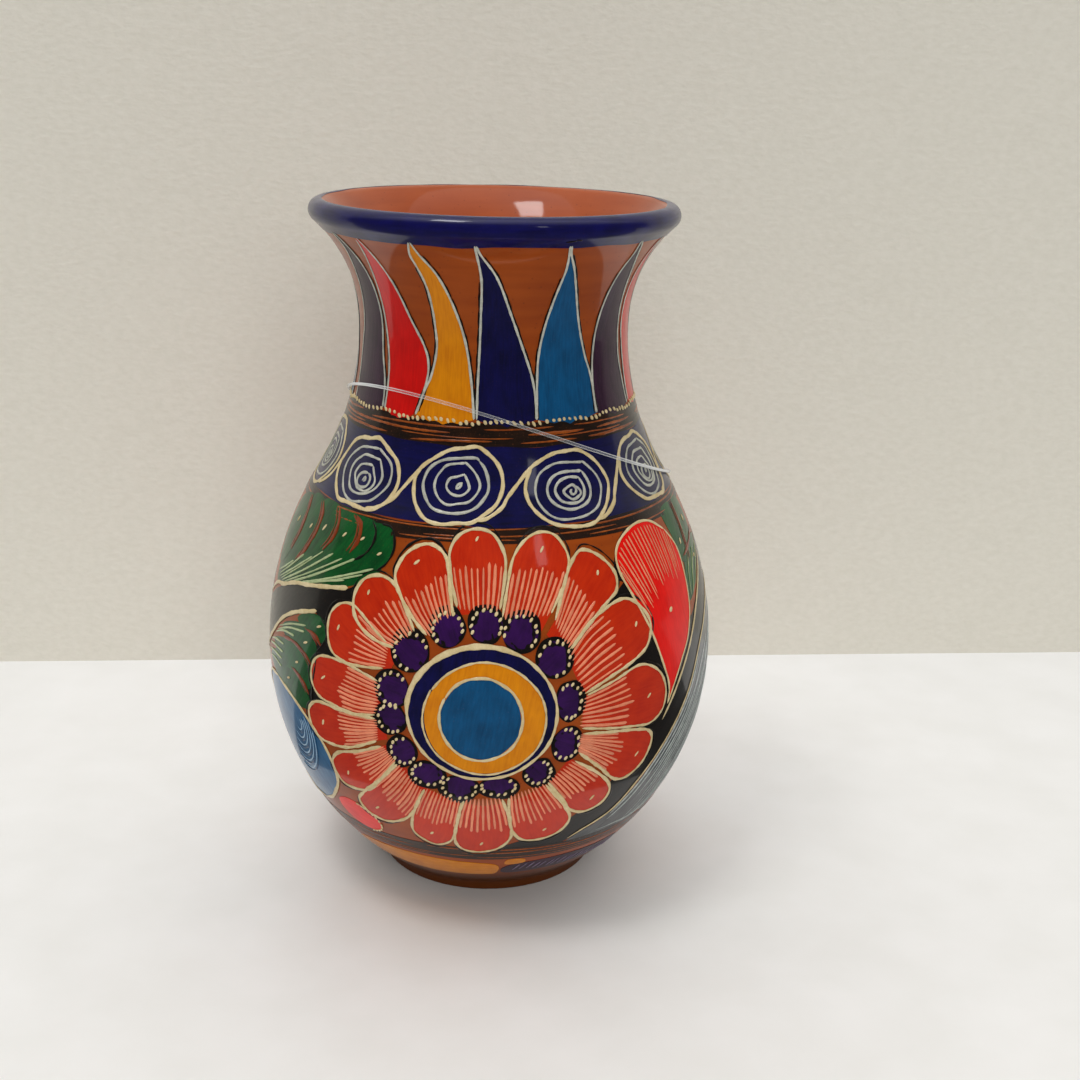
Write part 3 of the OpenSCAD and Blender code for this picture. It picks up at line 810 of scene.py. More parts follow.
def potProfile():
    # from the middle of the foot, up the outside, over the lip and down the inside
    footR, bellyZ, neckZ, lipR, wall = (pot[key] for key in ("footR", "bellyZ", "neckZ", "lipR", "wall"))
    bevel, step, lipStep, rows = (clay[key] for key in ("footRound", "step", "lipStep", "rows"))
    run = [(0, 0), (footR * 0.5, 0), (footR - 2 * bevel, 0)]
    run += arcRun(footR - bevel, bevel, bevel, -90, 0, clay["footStep"])
    run += [(footR + x, z) for x, z in clay["footCurl"]]
    run += [(float(wallR(z)), z) for z in np.linspace(clay["curlTop"], bellyZ, rows["low"])]
    run += [(float(wallR(z)), z) for z in np.linspace(bellyZ + clay["gap"], browZ, rows["high"])]
    browAt = math.degrees(math.atan2(browZ - lipZ, float(wallR(browZ - 1e-6)) - lipX))
    run += arcRun(lipX, lipZ, lipR, browAt + 6, 92, lipStep)
    outerCount = len(run)
    innerNeck = pot["neckR"] - wall
    inDx = lipX - innerNeck
    inR = (inDx ** 2 + (lipZ - neckZ) ** 2 - lipR ** 2) / (2 * (inDx - lipR))
    inBrow = 180 - math.degrees(math.asin((lipZ - neckZ) / (inR - lipR)))
    inTurn = bellyZ + riseDz * (pot["shoulderR"] - wall) / arcSum
    floorTop = pot["floor"] + clay["floorRound"]
    run += arcRun(lipX, lipZ, lipR, 98, inBrow, lipStep)
    run += arcRun(innerNeck + inR, neckZ, inR, inBrow + 2, 180, step)
    run += arcDown(hollowX, neckZ, hollowR + wall, -1, neckZ - step, inTurn, rows["inHollow"])
    run += arcDown(shoulderX, bellyZ, pot["shoulderR"] - wall, 1, inTurn - step, bellyZ, rows["inShoulder"])
    run += arcDown(lowX, bellyZ, lowR - wall, 1, bellyZ - step, floorTop, rows["inLow"])
    lastX = run[-1][0]
    for t in np.radians(np.linspace(15, 90, rows["floor"])):
        x = lastX - clay["floorRound"] * clay["floorEase"] * (1 - math.cos(t))
        run.append((x, floorTop - clay["floorRound"] * math.sin(t)))
    run += [(lastX * 0.5, pot["floor"]), (0, pot["floor"])]
    return np.array(run), outerCount


def addPot():
    run, outerCount = potProfile()
    around = pot["around"]
    a = np.arange(around) * 2 * math.pi / around
    body = run[1:-1]
    count = len(body)
    ring = np.stack([np.outer(np.sin(a), body[:, 0]), -np.outer(np.cos(a), body[:, 0]),
                     np.broadcast_to(body[:, 1], (around, count))], -1)
    verts = np.vstack([ring.reshape(-1, 3), [(0, 0, run[0, 1])], [(0, 0, run[-1, 1])]]) * mm
    foot = around * count
    faces = []
    for i in range(around):
        near = i * count
        far = (i + 1) % around * count
        faces.extend((near + j, far + j, far + j + 1, near + j + 1) for j in range(count - 1))
        faces.append((foot, far, near))
        faces.append((foot + 1, near + count - 1, far + count - 1))
    mesh = newMesh("potBody", verts, (), faces)
    outside = np.arange(len(verts)) % count < outerCount
    outside[foot:] = False
    setAttribute(mesh, "washed", outside)
    mesh.materials.append(clayMaterial())
    addPiece("potBody", mesh, "clay", "vessel")
    print("pot turned,", len(faces), "faces")


addPot()

# Cobalt lip: from a wavy edge on the flare, over the crest and just into the mouth
lipPaint = {
    "lowZ": 192.4, "lowWave": 0.55, "topAngle": 104, "topWave": 9, "farDrop": 30, "farGain": 1.6,
    "farFrom": 0.4, "lift": 0.14, "under": -0.15, "seed": 3, "flareRows": 7, "crestRows": 24,
    "chips": [(22.5, 194.2, 3.4, 0.8, 4, 0.3), (24.9, 194.5, 2.0, 0.6, -8, 0.3),
              (140.5, 195.2, 1.6, 0.7, 20, 0.3)],
}


def addLipPaint():
    rng = random.Random(lipPaint["seed"])
    low = lipPaint["lowZ"] + wavyRing(rng, lipPaint["lowWave"], (3, 7, 12, 19))
    top = lipPaint["topAngle"] + wavyRing(rng, lipPaint["topWave"], (4, 9, 15))
    a = np.radians(ringTurns)
    top = top - lipPaint["farDrop"] * np.clip(-lipPaint["farGain"] * np.cos(a) - lipPaint["farFrom"], 0, 1)
    first = math.degrees(math.asin((pot["neckZ"] - lipZ) / (pot["flareR"] + pot["lipR"])))
    t = np.linspace(0, 0.98, lipPaint["flareRows"])
    flareZ = low * (1 - t) + browZ * t
    s = np.linspace(0, 1, lipPaint["crestRows"])
    angle = np.radians(first * (1 - s) + top * s)
    sides = []
    for lift in (lipPaint["lift"], lipPaint["under"]):
        r = lipX + (pot["lipR"] + lift) * np.cos(angle)
        z = lipZ + (pot["lipR"] + lift) * np.sin(angle)
        crest = np.stack([r * np.sin(a), -r * np.cos(a), z], -1) * mm
        sides.append(np.concatenate([onVase(ringTurns, flareZ, lift), crest], axis=1))
    layRing("lipPaint", closed(*sides), "cobalt", "navy_paint", "lip_coat")
    layDabs("lipChips", lipPaint["chips"], asDab("black", "black_paint", lift=0.12, height=0.12))


addLipPaint()

# Flames round the neck: left and right edges as drawn on the front, the rest repeat them
flames = {
    "red": {
        "left": [(-48.5, 192), (-50, 181), (-49, 170), (-46.5, 158), (-46, 146.3)],
        "right": [(-47.5, 192.5), (-41, 182), (-35, 172), (-28.5, 164.5), (-26.5, 160), (-27, 155),
            (-30, 147)],
        "turns": (0, 115, 235),
    },
    "ochre": {
        "left": [(-26.5, 193), (-28, 189.5), (-27, 186), (-25, 180), (-23.5, 170), (-23, 164),
            (-25, 157), (-28, 152), (-30.5, 146.3)],
        "right": [(-26, 193), (-24.5, 189.5), (-20, 184), (-15, 175), (-11, 166), (-8.5, 156),
            (-7, 146.3)],
        "turns": (0, 119.5, 239.5),
    },
    "navy": {
        "left": [(-6, 193), (-5.5, 190), (-4.5, 183), (-5, 174), (-5.5, 165), (-6, 155), (-6, 146.3)],
        "right": [(-5.5, 193), (-4, 190), (1, 184), (6, 175), (11, 166), (15, 158), (16.5, 152),
            (16.5, 146.3)],
        "turns": (0, 119.7, 239.7),
    },
    "sky": {
        "left": [(22.8, 193), (24.5, 188), (24.5, 184), (22.5, 177), (20, 170), (18, 163), (17.3, 156),
            (16.8, 146.3)],
        "right": [(23.3, 193), (24.5, 190.5), (28, 186), (32, 179), (36, 170), (39.5, 162), (42.5, 156),
            (44, 146.3)],
        "turns": (0, 118.5, 238.5),
    },
    "plum": {
        "left": [(51.5, 193), (53, 189), (51, 184), (48, 176), (44.8, 166), (43.5, 158), (43.5, 146.3)],
        "right": [(52, 193), (55, 190.5), (60, 183), (62, 172), (63, 161), (65.5, 153), (67, 146.3)],
        "turns": (0, -114, 118),
    },
}
flameSet = {"loose": 0.45, "shadowGap": 0.8, "footSag": 1.7, "seed": 11}
flameFills = {key: "flames" + key.capitalize() for key in flames}
flameMarks = {
    **{flameFills[key]: asFill(key, key + "_paint", "flames_" + key, tone=(0.35, 0.6)) for key in flames},
    "flameOutlines": asLine("chalk", "cream_paint", width=0.66, tone=(0.3, 0.7), tail=(1.5, 0.5)),
    "flameShadowLines": asLine("black", "black_paint", lift=0.14, width=0.42, tone=(0.2, 0.6), tail=(3, 3),
                               uneven=0.35),
}


def addFlames():
    sheet = Sheet(flameMarks)
    rng = random.Random(flameSet["seed"])
    for key, flame in flames.items():
        for turn in flame["turns"]:
            loose = flameSet["loose"] if turn else 0.0
            left = turned(shake(flame["left"], rng, loose), turn)
            right = turned(shake(flame["right"], rng, loose), turn)
            (leftX, footZ), rightX = left[-1], right[-1][0]
            low = [(leftX + (rightX - leftX) * share, footZ - flameSet["footSag"] * math.sin(share * math.pi))
                   for share in (0.25, 0.5, 0.75)]
            sheet.fill(flameFills[key], np.vstack([smoothPath(left), low, smoothPath(right)[::-1]]), rng)
            for edge in (left, right):
                sheet.line("flameOutlines", edge, rng)
            for gap, edge in ((-flameSet["shadowGap"], left[2:]), (flameSet["shadowGap"], right[1:])):
                sheet.line("flameShadowLines", turned(edge, gap), rng)
    sheet.lay()


addFlames()

# A row of slanted cream beads along the feet of the flames
beads = {"z": 145.7, "step": 2.5, "sag": 0.4, "loose": 0.25, "seed": 5}
beadMarks = {
    "neckBeads": asDab("cream", "cream_paint", lift=0.22, height=0.26, length=(1.05, 1.8),
                       width=(0.76, 1.0925), turn=(-60, -25), tone=(0.4, 0.8)),
}


def addBeads():
    sheet = Sheet(beadMarks)
    rng = random.Random(beads["seed"])
    deg = -180.0
    while deg < 180:
        sag = beads["sag"] * math.sin(math.radians(deg * 15 + 40))
        sheet.dab("neckBeads", deg, beads["z"] + sag + rng.uniform(-beads["loose"], beads["loose"]), rng)
        deg += beads["step"] * rng.uniform(0.8, 1.2)
    sheet.lay()


addBeads()

# Dark stripes: a brushed ring with long amber strokes where the clay shows through
stripes = {
    "neck": {
        "low": 139.3, "high": 145.6, "wave": 0.25,
        "rows": [(144.0, 0.8), (142.6, 1.1), (141.7, 0.5), (140.6, 0.9)],
        "span": (22, 70), "gap": (4, 30), "drift": 0.5, "seed": 21,
    },
    "shoulder": {
        "low": 116.4, "high": 120.3, "wave": 0.3,
        "rows": [(119.6, 0.7), (118.2, 0.5), (117.2, 0.7)],
        "span": (25, 80), "gap": (6, 30), "drift": 0.25, "seed": 22,
    },
    "foot": {
        "low": 20.8, "high": 26.4, "wave": 0.3,
        "rows": [(25.4, 0.7), (24.0, 1.1), (22.6, 0.6), (21.6, 0.8)],
        "span": (25, 80), "gap": (4, 24), "drift": 0.35, "seed": 23,
    },
}
stripeSet = {
    "waves": ((4, 7, 11), (3, 8, 13)), "across": 6, "lift": 0.08, "loose": 0.12, "start": (-180, -150),
}
stripeGaps = asLine("amber", "clay", lift=0.09, flatness=0.1, sides=6, tone=(0.1, 0.8), tail=(14, 18),
                    step=1.6)


def addStripes(name):
    part = stripes[name]
    rng = random.Random(part["seed"])
    section = wavyBand(part, rng, stripeSet["waves"], stripeSet["across"], stripeSet["lift"])
    layRing(name + "Stripes", section, "brown", "brown_paint", name + "_stripes")
    sheet = Sheet({name + "StripeGaps": stripeGaps})
    loose = (-stripeSet["loose"], stripeSet["loose"])
    for z, width in part["rows"]:
        at = rng.uniform(*stripeSet["start"])
        while at < 180:
            span = rng.uniform(*part["span"])
            slope = rng.uniform(-1, 1) * part["drift"]
            marks = [(at + span * k / 4, z + slope * (k - 2) / 2 + rng.uniform(*loose)) for k in range(5)]
            sheet.line(name + "StripeGaps", marks, rng, width=(width * 0.5, width * 1.1))
            at += span + rng.uniform(*part["gap"])
    sheet.lay()


for stripeName in stripes:
    addStripes(stripeName)

# Navy band with ten running spirals; the first sweep is thick, the turns inside are thin
spirals = {
    "low": 120.4, "high": 139.5, "wave": 0.45, "waves": ((5, 8, 13), (4, 9, 14)), "across": 15,
    "lift": 0.1, "seed": 31, "loose": 0.1,
    "centres": [(-79, 130, 13), (-47.5, 129.6, 15.7), (-11.2, 130, 14.8), (26.1, 128.6, 15.3),
        (63, 129.8, 14.2), (99, 129, 14.8), (135.5, 130, 14.6), (172, 128.6, 15), (208.5, 129.8, 14.8),
        (245, 128.8, 14.6)],
    "join": [(0.42, -8.2), (0.66, -7.7), (0.97, -5.1), (1.12, -2.3)],
}
# three spirals as the brush drew them, in degrees and mm from the middle: a sweep, and turns inside it
spiralShapes = [
    {
        "wide": 15.7,
        "outer": [(-12.5, 5.4), (-7.7, 7.6), (-2.3, 8.2), (1.9, 8.8), (4.9, 8.1), (8.5, 6.5),
            (12.7, 4.4), (14.8, 1.9), (15.7, -0.9), (15.1, -3.7), (13.3, -6.2), (10.3, -7.9),
            (6.7, -8.8), (3.1, -8.6), (-1.7, -8.5), (-6.5, -8.3), (-9.5, -6.9), (-12.5, -5.1),
            (-14.8, -2.7), (-15.7, -0.2), (-14.9, 1.9), (-12.8, 4.7)],
        "turns": [
            [(3.7, 6.5), (9.7, 4.0), (11.8, 1.9), (12.4, -0.2), (11.8, -2.7), (7.9, -6.2), (4.3, -7.2),
             (-0.5, -7.8), (-4.7, -6.9), (-8.3, -4.8), (-11.2, -1.3), (-10.7, 1.9), (-6.5, 5.1),
             (-2.3, 5.8), (3.7, 6.3)],
            [(5.5, 3.9), (8.2, 0.8), (8.8, -0.9), (7.9, -3.0), (5.5, -4.8), (1.9, -5.7), (-2.3, -5.5),
             (-5.0, -4.1), (-7.1, -0.9), (-6.5, 1.2), (-4.4, 2.9), (-1.7, 3.9), (5.8, 3.7)],
            [(3.2, 1.8), (4.6, 0.1), (6.1, -1.6), (6.1, -3.0), (4.3, -4.4), (1.9, -4.8), (-1.1, -4.1),
             (-3.8, -2.0), (-4.1, -0.6), (-2.6, 1.3), (1.3, 1.8), (3.4, 1.6)],
            [(2.2, -0.2), (3.4, -0.9), (4.0, -2.0), (3.4, -3.4), (1.3, -4.1), (-0.8, -3.7), (-2.0, -2.3),
             (-1.4, -1.1), (0.1, -0.4), (2.2, -0.4)],
            [(0.6, -2.5), (1.3, -1.5), (2.0, -2.0), (1.2, -2.6)],
        ],
    },
    {
        "wide": 14.8,
        "outer": [(-13.4, 3.2), (-9.2, 6.0), (-3.8, 8.4), (1.6, 9.0), (5.8, 9.5), (8.8, 8.4),
            (12.4, 6.0), (14.2, 3.5), (14.8, 0.7), (14.2, -1.8), (12.4, -4.6), (8.8, -7.0), (5.2, -8.8),
            (1.0, -9.1), (-3.8, -9.5), (-8.6, -8.8), (-12.2, -6.0), (-14.0, -3.2), (-14.8, 0.0),
            (-14.5, 1.5), (-13.1, 3.4)],
        "turns": [
            [(6.7, 6.0), (8.8, 4.2), (10.0, 1.4), (10.0, -1.1), (8.8, -3.2), (6.4, -5.3), (2.8, -6.5),
             (-2.0, -6.9), (-6.8, -6.0), (-9.8, -3.9), (-11.5, -1.1), (-11.5, 1.1), (-10.4, 3.2),
             (-8.0, 4.9), (-3.8, 6.0), (5.2, 6.7), (6.9, 5.9)],
            [(1.9, 5.6), (4.6, 3.9), (6.4, 2.1), (7.3, 0.0), (6.4, -2.1), (4.0, -3.9), (1.0, -4.6),
             (-2.6, -4.9), (-5.6, -3.5), (-7.4, -1.1), (-7.4, 1.1), (-6.2, 2.8), (-3.8, 4.6),
             (2.1, 5.4)],
            [(2.0, 2.8), (3.7, 0.4), (3.9, -1.1), (1.6, -2.5), (-1.1, -2.5), (-3.2, -1.4), (-3.5, 0.0),
             (-2.6, 1.3), (-0.5, 1.8), (2.2, 2.6)],
            [(-0.5, -1.1), (0.1, -0.1), (1.4, 0.4), (0.8, -0.6), (-0.4, -1.1)],
        ],
    },
    {
        "wide": 15.3,
        "outer": [(-13.9, 5.1), (-9.4, 7.3), (-4.4, 8.8), (0.7, 9.2), (5.1, 9.2), (7.7, 8.4),
            (10.8, 6.6), (13.4, 4.4), (14.9, 1.8), (15.3, -0.1), (14.3, -2.3), (12.1, -4.9), (8.9, -7.1),
            (5.8, -8.8), (2.0, -9.2), (-3.1, -8.8), (-7.5, -8.0), (-11.3, -6.0), (-14.2, -3.0),
            (-15.3, -0.4), (-15.1, 1.8), (-14.0, 3.9), (-12.6, 5.3)],
        "turns": [
            [(6.4, 6.2), (8.9, 4.4), (11.1, 2.1), (11.8, -0.4), (10.5, -3.0), (8.3, -5.3), (4.5, -6.7),
             (0.1, -7.3), (-5.0, -7.1), (-8.8, -5.6), (-11.3, -3.0), (-12.1, -0.4), (-11.7, 1.8),
             (-10.1, 4.0), (-6.9, 5.7), (-2.5, 6.4), (6.5, 6.0)],
            [(5.4, 4.0), (7.0, 1.4), (7.3, -0.8), (6.1, -3.0), (3.2, -4.5), (-1.2, -5.0), (-5.0, -4.1),
             (-7.5, -2.3), (-8.2, -0.1), (-7.2, 1.8), (-5.0, 3.4), (-1.2, 4.1), (5.6, 3.8)],
            [(3.7, 2.5), (5.0, -0.1), (4.2, -2.3), (2.0, -3.6), (-1.2, -3.6), (-4.1, -2.7), (-5.5, -0.8),
             (-5.0, 0.7), (-3.1, 2.1), (0.1, 2.7), (3.9, 2.3)],
            [(2.3, 0.4), (3.5, -1.2), (2.3, -2.3), (0.1, -2.8), (-1.8, -1.9), (-2.6, -0.8), (-1.5, 0.1),
             (1.0, 0.7), (2.0, -0.4), (1.5, -1.4), (0.2, -1.6), (-0.2, -0.9), (0.6, -0.4)],
        ],
    },
]
spiralMarks = {
    "spiralSweeps": asLine("cream", "cream_paint", lift=0.18, width=(0.972, 1.188), tone=(0.4, 0.7),
                           tail=(3, 3), step=0.9),
    "spiralTurns": asLine("chalk", "cream_paint", lift=0.16, sides=6, width=(0.738, 0.943), tail=(2, 1.5),
                          uneven=0.14),
}


def addSpiralBand():
    rng = random.Random(spirals["seed"])
    section = wavyBand(spirals, rng, spirals["waves"], spirals["across"], spirals["lift"])
    layRing("spiralBand", section, "navy", "navy_paint", "spiral_band")
    sheet = Sheet(spiralMarks)
    for number, (cx, cz, wide) in enumerate(spirals["centres"]):
        beforeX, beforeZ, beforeWide = spirals["centres"][number - 1]
        beforeX = cx - (cx - beforeX) % 360
        shape = spiralShapes[(number + 2) % len(spiralShapes)]
        ease = wide / shape["wide"]
        marks = [(beforeX + beforeWide * x, beforeZ + z) for x, z in spirals["join"]]
        marks += [(cx + x * ease, cz + z) for x, z in shake(shape["outer"], rng, spirals["loose"])]
        sheet.line("spiralSweeps", marks, rng)
        for turn in shape["turns"]:
            marks = [(cx + x * ease, cz + z) for x, z in shake(turn, rng, spirals["loose"])]
            sheet.line("spiralTurns", marks, rng, tone=rng.uniform(0.35, 0.75))
    sheet.lay()


addSpiralBand()

# The flower, front and back; the back one is drawn by the same hand, a little differently
frontAndBack = [{"turn": 0, "loose": 0.0, "seed": 41}, {"turn": 180, "loose": 0.7, "seed": 42}]
flower = {
    "middle": (-1.5, 72.0), "rootR": 28.0, "loose": 0.12, "petalStep": 0.012,
    "shadowGrow": (1.025, 1.03), "hatchIn": 0.12, "hatchTo": 0.41, "hatchBow": 0.05,
    "hatchLoose": (-0.05, 0.04), "dashAt": (0.64, 0.72), "berryHalo": 1.0, "haloOut": 0.5,
    "berryWobble": (0.92, 1.06), "dots": 10, "dotSpan": (-120, 120), "dotLoose": (-0.09, 0.09),
    "dotOut": 0.95, "ringWobble": (0.985, 1.012), "lineWobble": (0.988, 1.01), "browOut": 1.005,
    "petals": [
        [(-8.1, 101), (-10.6, 110.1), (-11, 114.9), (-8.7, 118.5), (-4, 119.9), (0.6, 118.6),
         (3.5, 114.2), (3.8, 109.5), (2.3, 100.7)],
        [(2.9, 98.6), (4.3, 106.1), (5.8, 112.8), (9.3, 117.2), (13.9, 118.9), (18.5, 117.6),
         (21.1, 112.8), (20, 108.1), (15, 99.3)],
        [(15.9, 97.3), (19.1, 106.1), (21.1, 110.4), (24.9, 113.8), (30.1, 111.9), (34.1, 107.4),
         (33.7, 102.7), (30.7, 100.4), (26, 96.6), (19.1, 89.6)],
        [(19.7, 89.6), (23.7, 94.6), (29.5, 98.6), (35.3, 100.1), (39.9, 97.7), (43.1, 92.2),
         (41.4, 86.2), (36.5, 83.1), (30.1, 80.4), (22.6, 76.9)],
        [(23.1, 76.4), (30.7, 79.1), (37.6, 81.5), (42.2, 80.1), (45.9, 76.1), (47.7, 70.7),
         (46.3, 65.5), (42.2, 63.1), (36.5, 63.9), (29.5, 65.5), (22, 67.2)],
        [(22.3, 65.5), (29.5, 64.3), (36.5, 62.8), (41.8, 60.9), (43.8, 57), (42.2, 50.9), (37.6, 47.3),
         (33, 48), (27.8, 53.6), (21.6, 59.9)],
        [(20.8, 57.4), (26.6, 52.7), (31.3, 47.7), (32.6, 43.6), (30.7, 39.9), (26, 38.2), (21.6, 40.5),
         (18.5, 45.3), (14.5, 51.4)],
        [(13.9, 50.7), (19.7, 42.3), (22.2, 36.9), (20.8, 32.2), (15.9, 29.7), (9.8, 30.1), (6.6, 34.5),
         (5.4, 41.2), (5.2, 46.9)],
        [(3.5, 46.6), (5.8, 38.5), (6.4, 31.8), (3.5, 27), (-1.7, 25), (-6.9, 25.7), (-9.1, 29.7),
         (-7.8, 38.5), (-5.8, 45.9)],
        [(-6.6, 45.3), (-8.1, 36.5), (-10.1, 29.7), (-15, 27), (-19.7, 29.3), (-21.1, 33.1),
         (-19.1, 40.5), (-15.6, 48.6)],
        [(-16.2, 47.3), (-19.7, 39.2), (-23.7, 35.1), (-29.3, 33.1), (-34.5, 34.7), (-36.2, 38.9),
         (-33.6, 42.6), (-27.2, 49.3), (-22, 55.4)],
        [(-22.6, 56.1), (-26.6, 50), (-31.3, 44.3), (-36.8, 42.6), (-40.9, 43.9), (-42.6, 49.1),
         (-39.6, 53.8), (-33, 56.4), (-26, 60.1)],
        [(-27.2, 61.5), (-35.3, 57), (-41.7, 55.7), (-46.6, 56.5), (-49, 60.4), (-48.6, 64.6),
         (-44.6, 67.6), (-36.5, 67.7), (-27.2, 68.2)],
        [(-27.2, 69.3), (-33, 68.2), (-39.4, 68.5), (-44.9, 69.6), (-47.6, 73.4), (-47.2, 78.4),
         (-43.8, 81.5), (-35.9, 81.5), (-26.6, 79.1)],
        [(-25.5, 82.8), (-30.7, 82), (-36.5, 82), (-40.9, 83.8), (-42.9, 88.5), (-42.8, 93.6),
         (-39.9, 96.9), (-35.5, 97.4), (-30.1, 93.6), (-24.9, 89.6)],
        [(-23.1, 88.8), (-27.8, 89.9), (-32.4, 92.2), (-35.5, 95.9), (-36, 100.7), (-33.8, 104.7),
         (-29.3, 106.4), (-24.7, 104.7), (-21.4, 100), (-18.2, 93.9)],
        [(-15, 93.2), (-19.1, 97.3), (-23.1, 102.7), (-25.2, 107.4), (-23.7, 111.9), (-19.9, 114.9),
         (-15.6, 115.4), (-11.9, 112.6), (-10.4, 106.8), (-8.9, 98.6)],
    ],
    "berries": [(-10.1, 95.3, 4.4, 4.4), (-0.9, 96.6, 4.4, 4.2), (7.3, 94.6, 4.8, 4.6),
        (15.3, 87.4, 4.6, 4.8), (18.8, 75.4, 3.5, 5), (18.3, 63.1, 3.8, 4.6), (11.9, 55, 3.7, 3.7),
        (2.5, 50.9, 5, 2.8), (-6.9, 50.3, 5, 3.7), (-14.5, 53.8, 4.7, 3.5), (-20.3, 60.1, 3.7, 4),
        (-23.1, 69.2, 4, 4), (-22.8, 77.7, 4.4, 4.7), (-18.8, 88.5, 5, 5)],
    "rings": {
        "flowerNavyRings": (-1.6, 72.3, 20.4, 18.8), "flowerGoldRings": (-1.05, 71.0, 16.4, 15.9),
        "flowerEyes": (-1.85, 71.2, 10.8, 11.5),
    },
    "ringLines": [((-1.85, 71.2, 11.1, 11.8), 0.8, 0.36), ((-1.05, 71.0, 16.6, 16.1), 0.6, 0.28),
        ((-1.6, 72.3, 20.5, 18.9), 0.9, 0.2)],
}
petalMarks = {
    "petalFills": asFill("petal", "orange_paint", "petals", lift=0.16, tone=(0.38, 0.62)),
    "petalOutlines": asLine("cream", "cream_paint", lift=0.23, width=(0.714, 1.008), tone=(0.35, 0.7),
                            tail=(3, 3), uneven=0.2),
    "petalShadowLines": asLine("black", "black_paint", lift=0.12, flatness=0.16, width=(0.385, 0.715),
                               tone=0.4, tail=(5, 5), uneven=0.3),
    "petalHatching": asLine("salmon", "cream_paint", sides=6, width=(0.54, 0.936), tone=(0.3, 0.9),
                            tail=(4, 1.0)),
    "petalDashes": asDab("cream", "cream_paint", length=(1.5, 2.4), width=(0.6, 0.85), turn=(35, 80),
                         tone=0.7),
}
heartMarks = {
    "berryHalos": asFill("black", "black_paint", lift=0.255, grid=2.0, tone=(0.35, 0.65)),
    "berryFills": asFill("berry", "plum_paint", "berries", lift=0.285, grid=2.0, tone=(0.35, 0.65)),
    "berryDots": asDab("cream", "cream_paint", lift=0.32, height=0.14, length=(1.2, 1.55),
                       width=(0.78, 0.98), turn=(48, 76), tone=(0.5, 0.9)),
    "flowerNavyRings": asFill("navy", "navy_paint", "flower_navy_ring", grid=2.0, turn=80),
    "flowerGoldRings": asFill("ochre", "ochre_paint", "flower_gold_ring", lift=0.2, grid=2.0, turn=80),
    "flowerEyes": asFill("sky", "sky_paint", "flower_eye", lift=0.28, grid=2.0, turn=80),
    "flowerRingLines": asLine("cream", "cream_paint", "flower_line_ring", tail=(2, 2), uneven=0.2),
}


def ovalPoint(oval, angle, size=1.0):
    # the angle runs from the right, against the clock
    return (oval[0] + oval[2] * size * math.cos(angle) / flatX, oval[1] + oval[3] * size * math.sin(angle))


def wobbly(oval, turns, wobble, rng):
    return [ovalPoint(oval, math.radians(a), rng.uniform(*wobble)) for a in turns]


def wayOut(deg, z):
    return math.atan2(z - flower["middle"][1], (deg - flower["middle"][0]) * flatX)


def addPetals():
    sheet = Sheet(petalMarks)
    midX, midZ = flower["middle"]
    for face in frontAndBack:
        rng = random.Random(face["seed"])
        faceX = midX + face["turn"]
        for number, petal in enumerate(flower["petals"]):
            marks = turned(shake(petal, rng, flower["loose"] + face["loose"] * 0.5), face["turn"])
            rootOval = (faceX, midZ, flower["rootR"], flower["rootR"])
            roots = [ovalPoint(rootOval, wayOut(*petal[end])) for end in (-1, 0)]
            way = math.degrees(wayOut(*petal[len(petal) // 2]))
            lift = petalMarks["petalFills"]["lift"] + flower["petalStep"] * (number % 3)
            sheet.fill("petalFills", np.vstack([smoothPath(marks), roots]), rng, turn=way, lift=lift)
            sheet.line("petalOutlines", marks, rng)
            growX, growZ = flower["shadowGrow"]
            grown = [(faceX + (x - faceX) * growX, midZ + (z - midZ) * growZ) for x, z in marks]
            first = rng.choice([1, 2, 2])
            sheet.line("petalShadowLines", grown[first:len(grown) - rng.choice([1, 1, 2])], rng)
            edge = smoothPath(marks, 0.3)
            half = len(edge) // 2
            count = rng.choice([8, 9, 9, 10])
            for k in range(count):
                side = (k + 0.7) / (count + 0.4)
                bow = flower["hatchBow"] * math.sin(side * math.pi)
                reach = flower["hatchTo"] + rng.uniform(*flower["hatchLoose"]) + bow
                stops = [int(half * share) for share in (0, reach / 2, reach)]
                line = [edge[along] * (1 - side) + edge[-1 - along] * side for along in stops]
                line[0] = line[0] - (line[1] - line[0]) * flower["hatchIn"]
                sheet.line("petalHatching", line, rng)
            along = int(half * rng.uniform(*flower["dashAt"]))
            sheet.dab("petalDashes", *(edge[along] * 0.5 + edge[-1 - along] * 0.5), rng)
    sheet.lay()


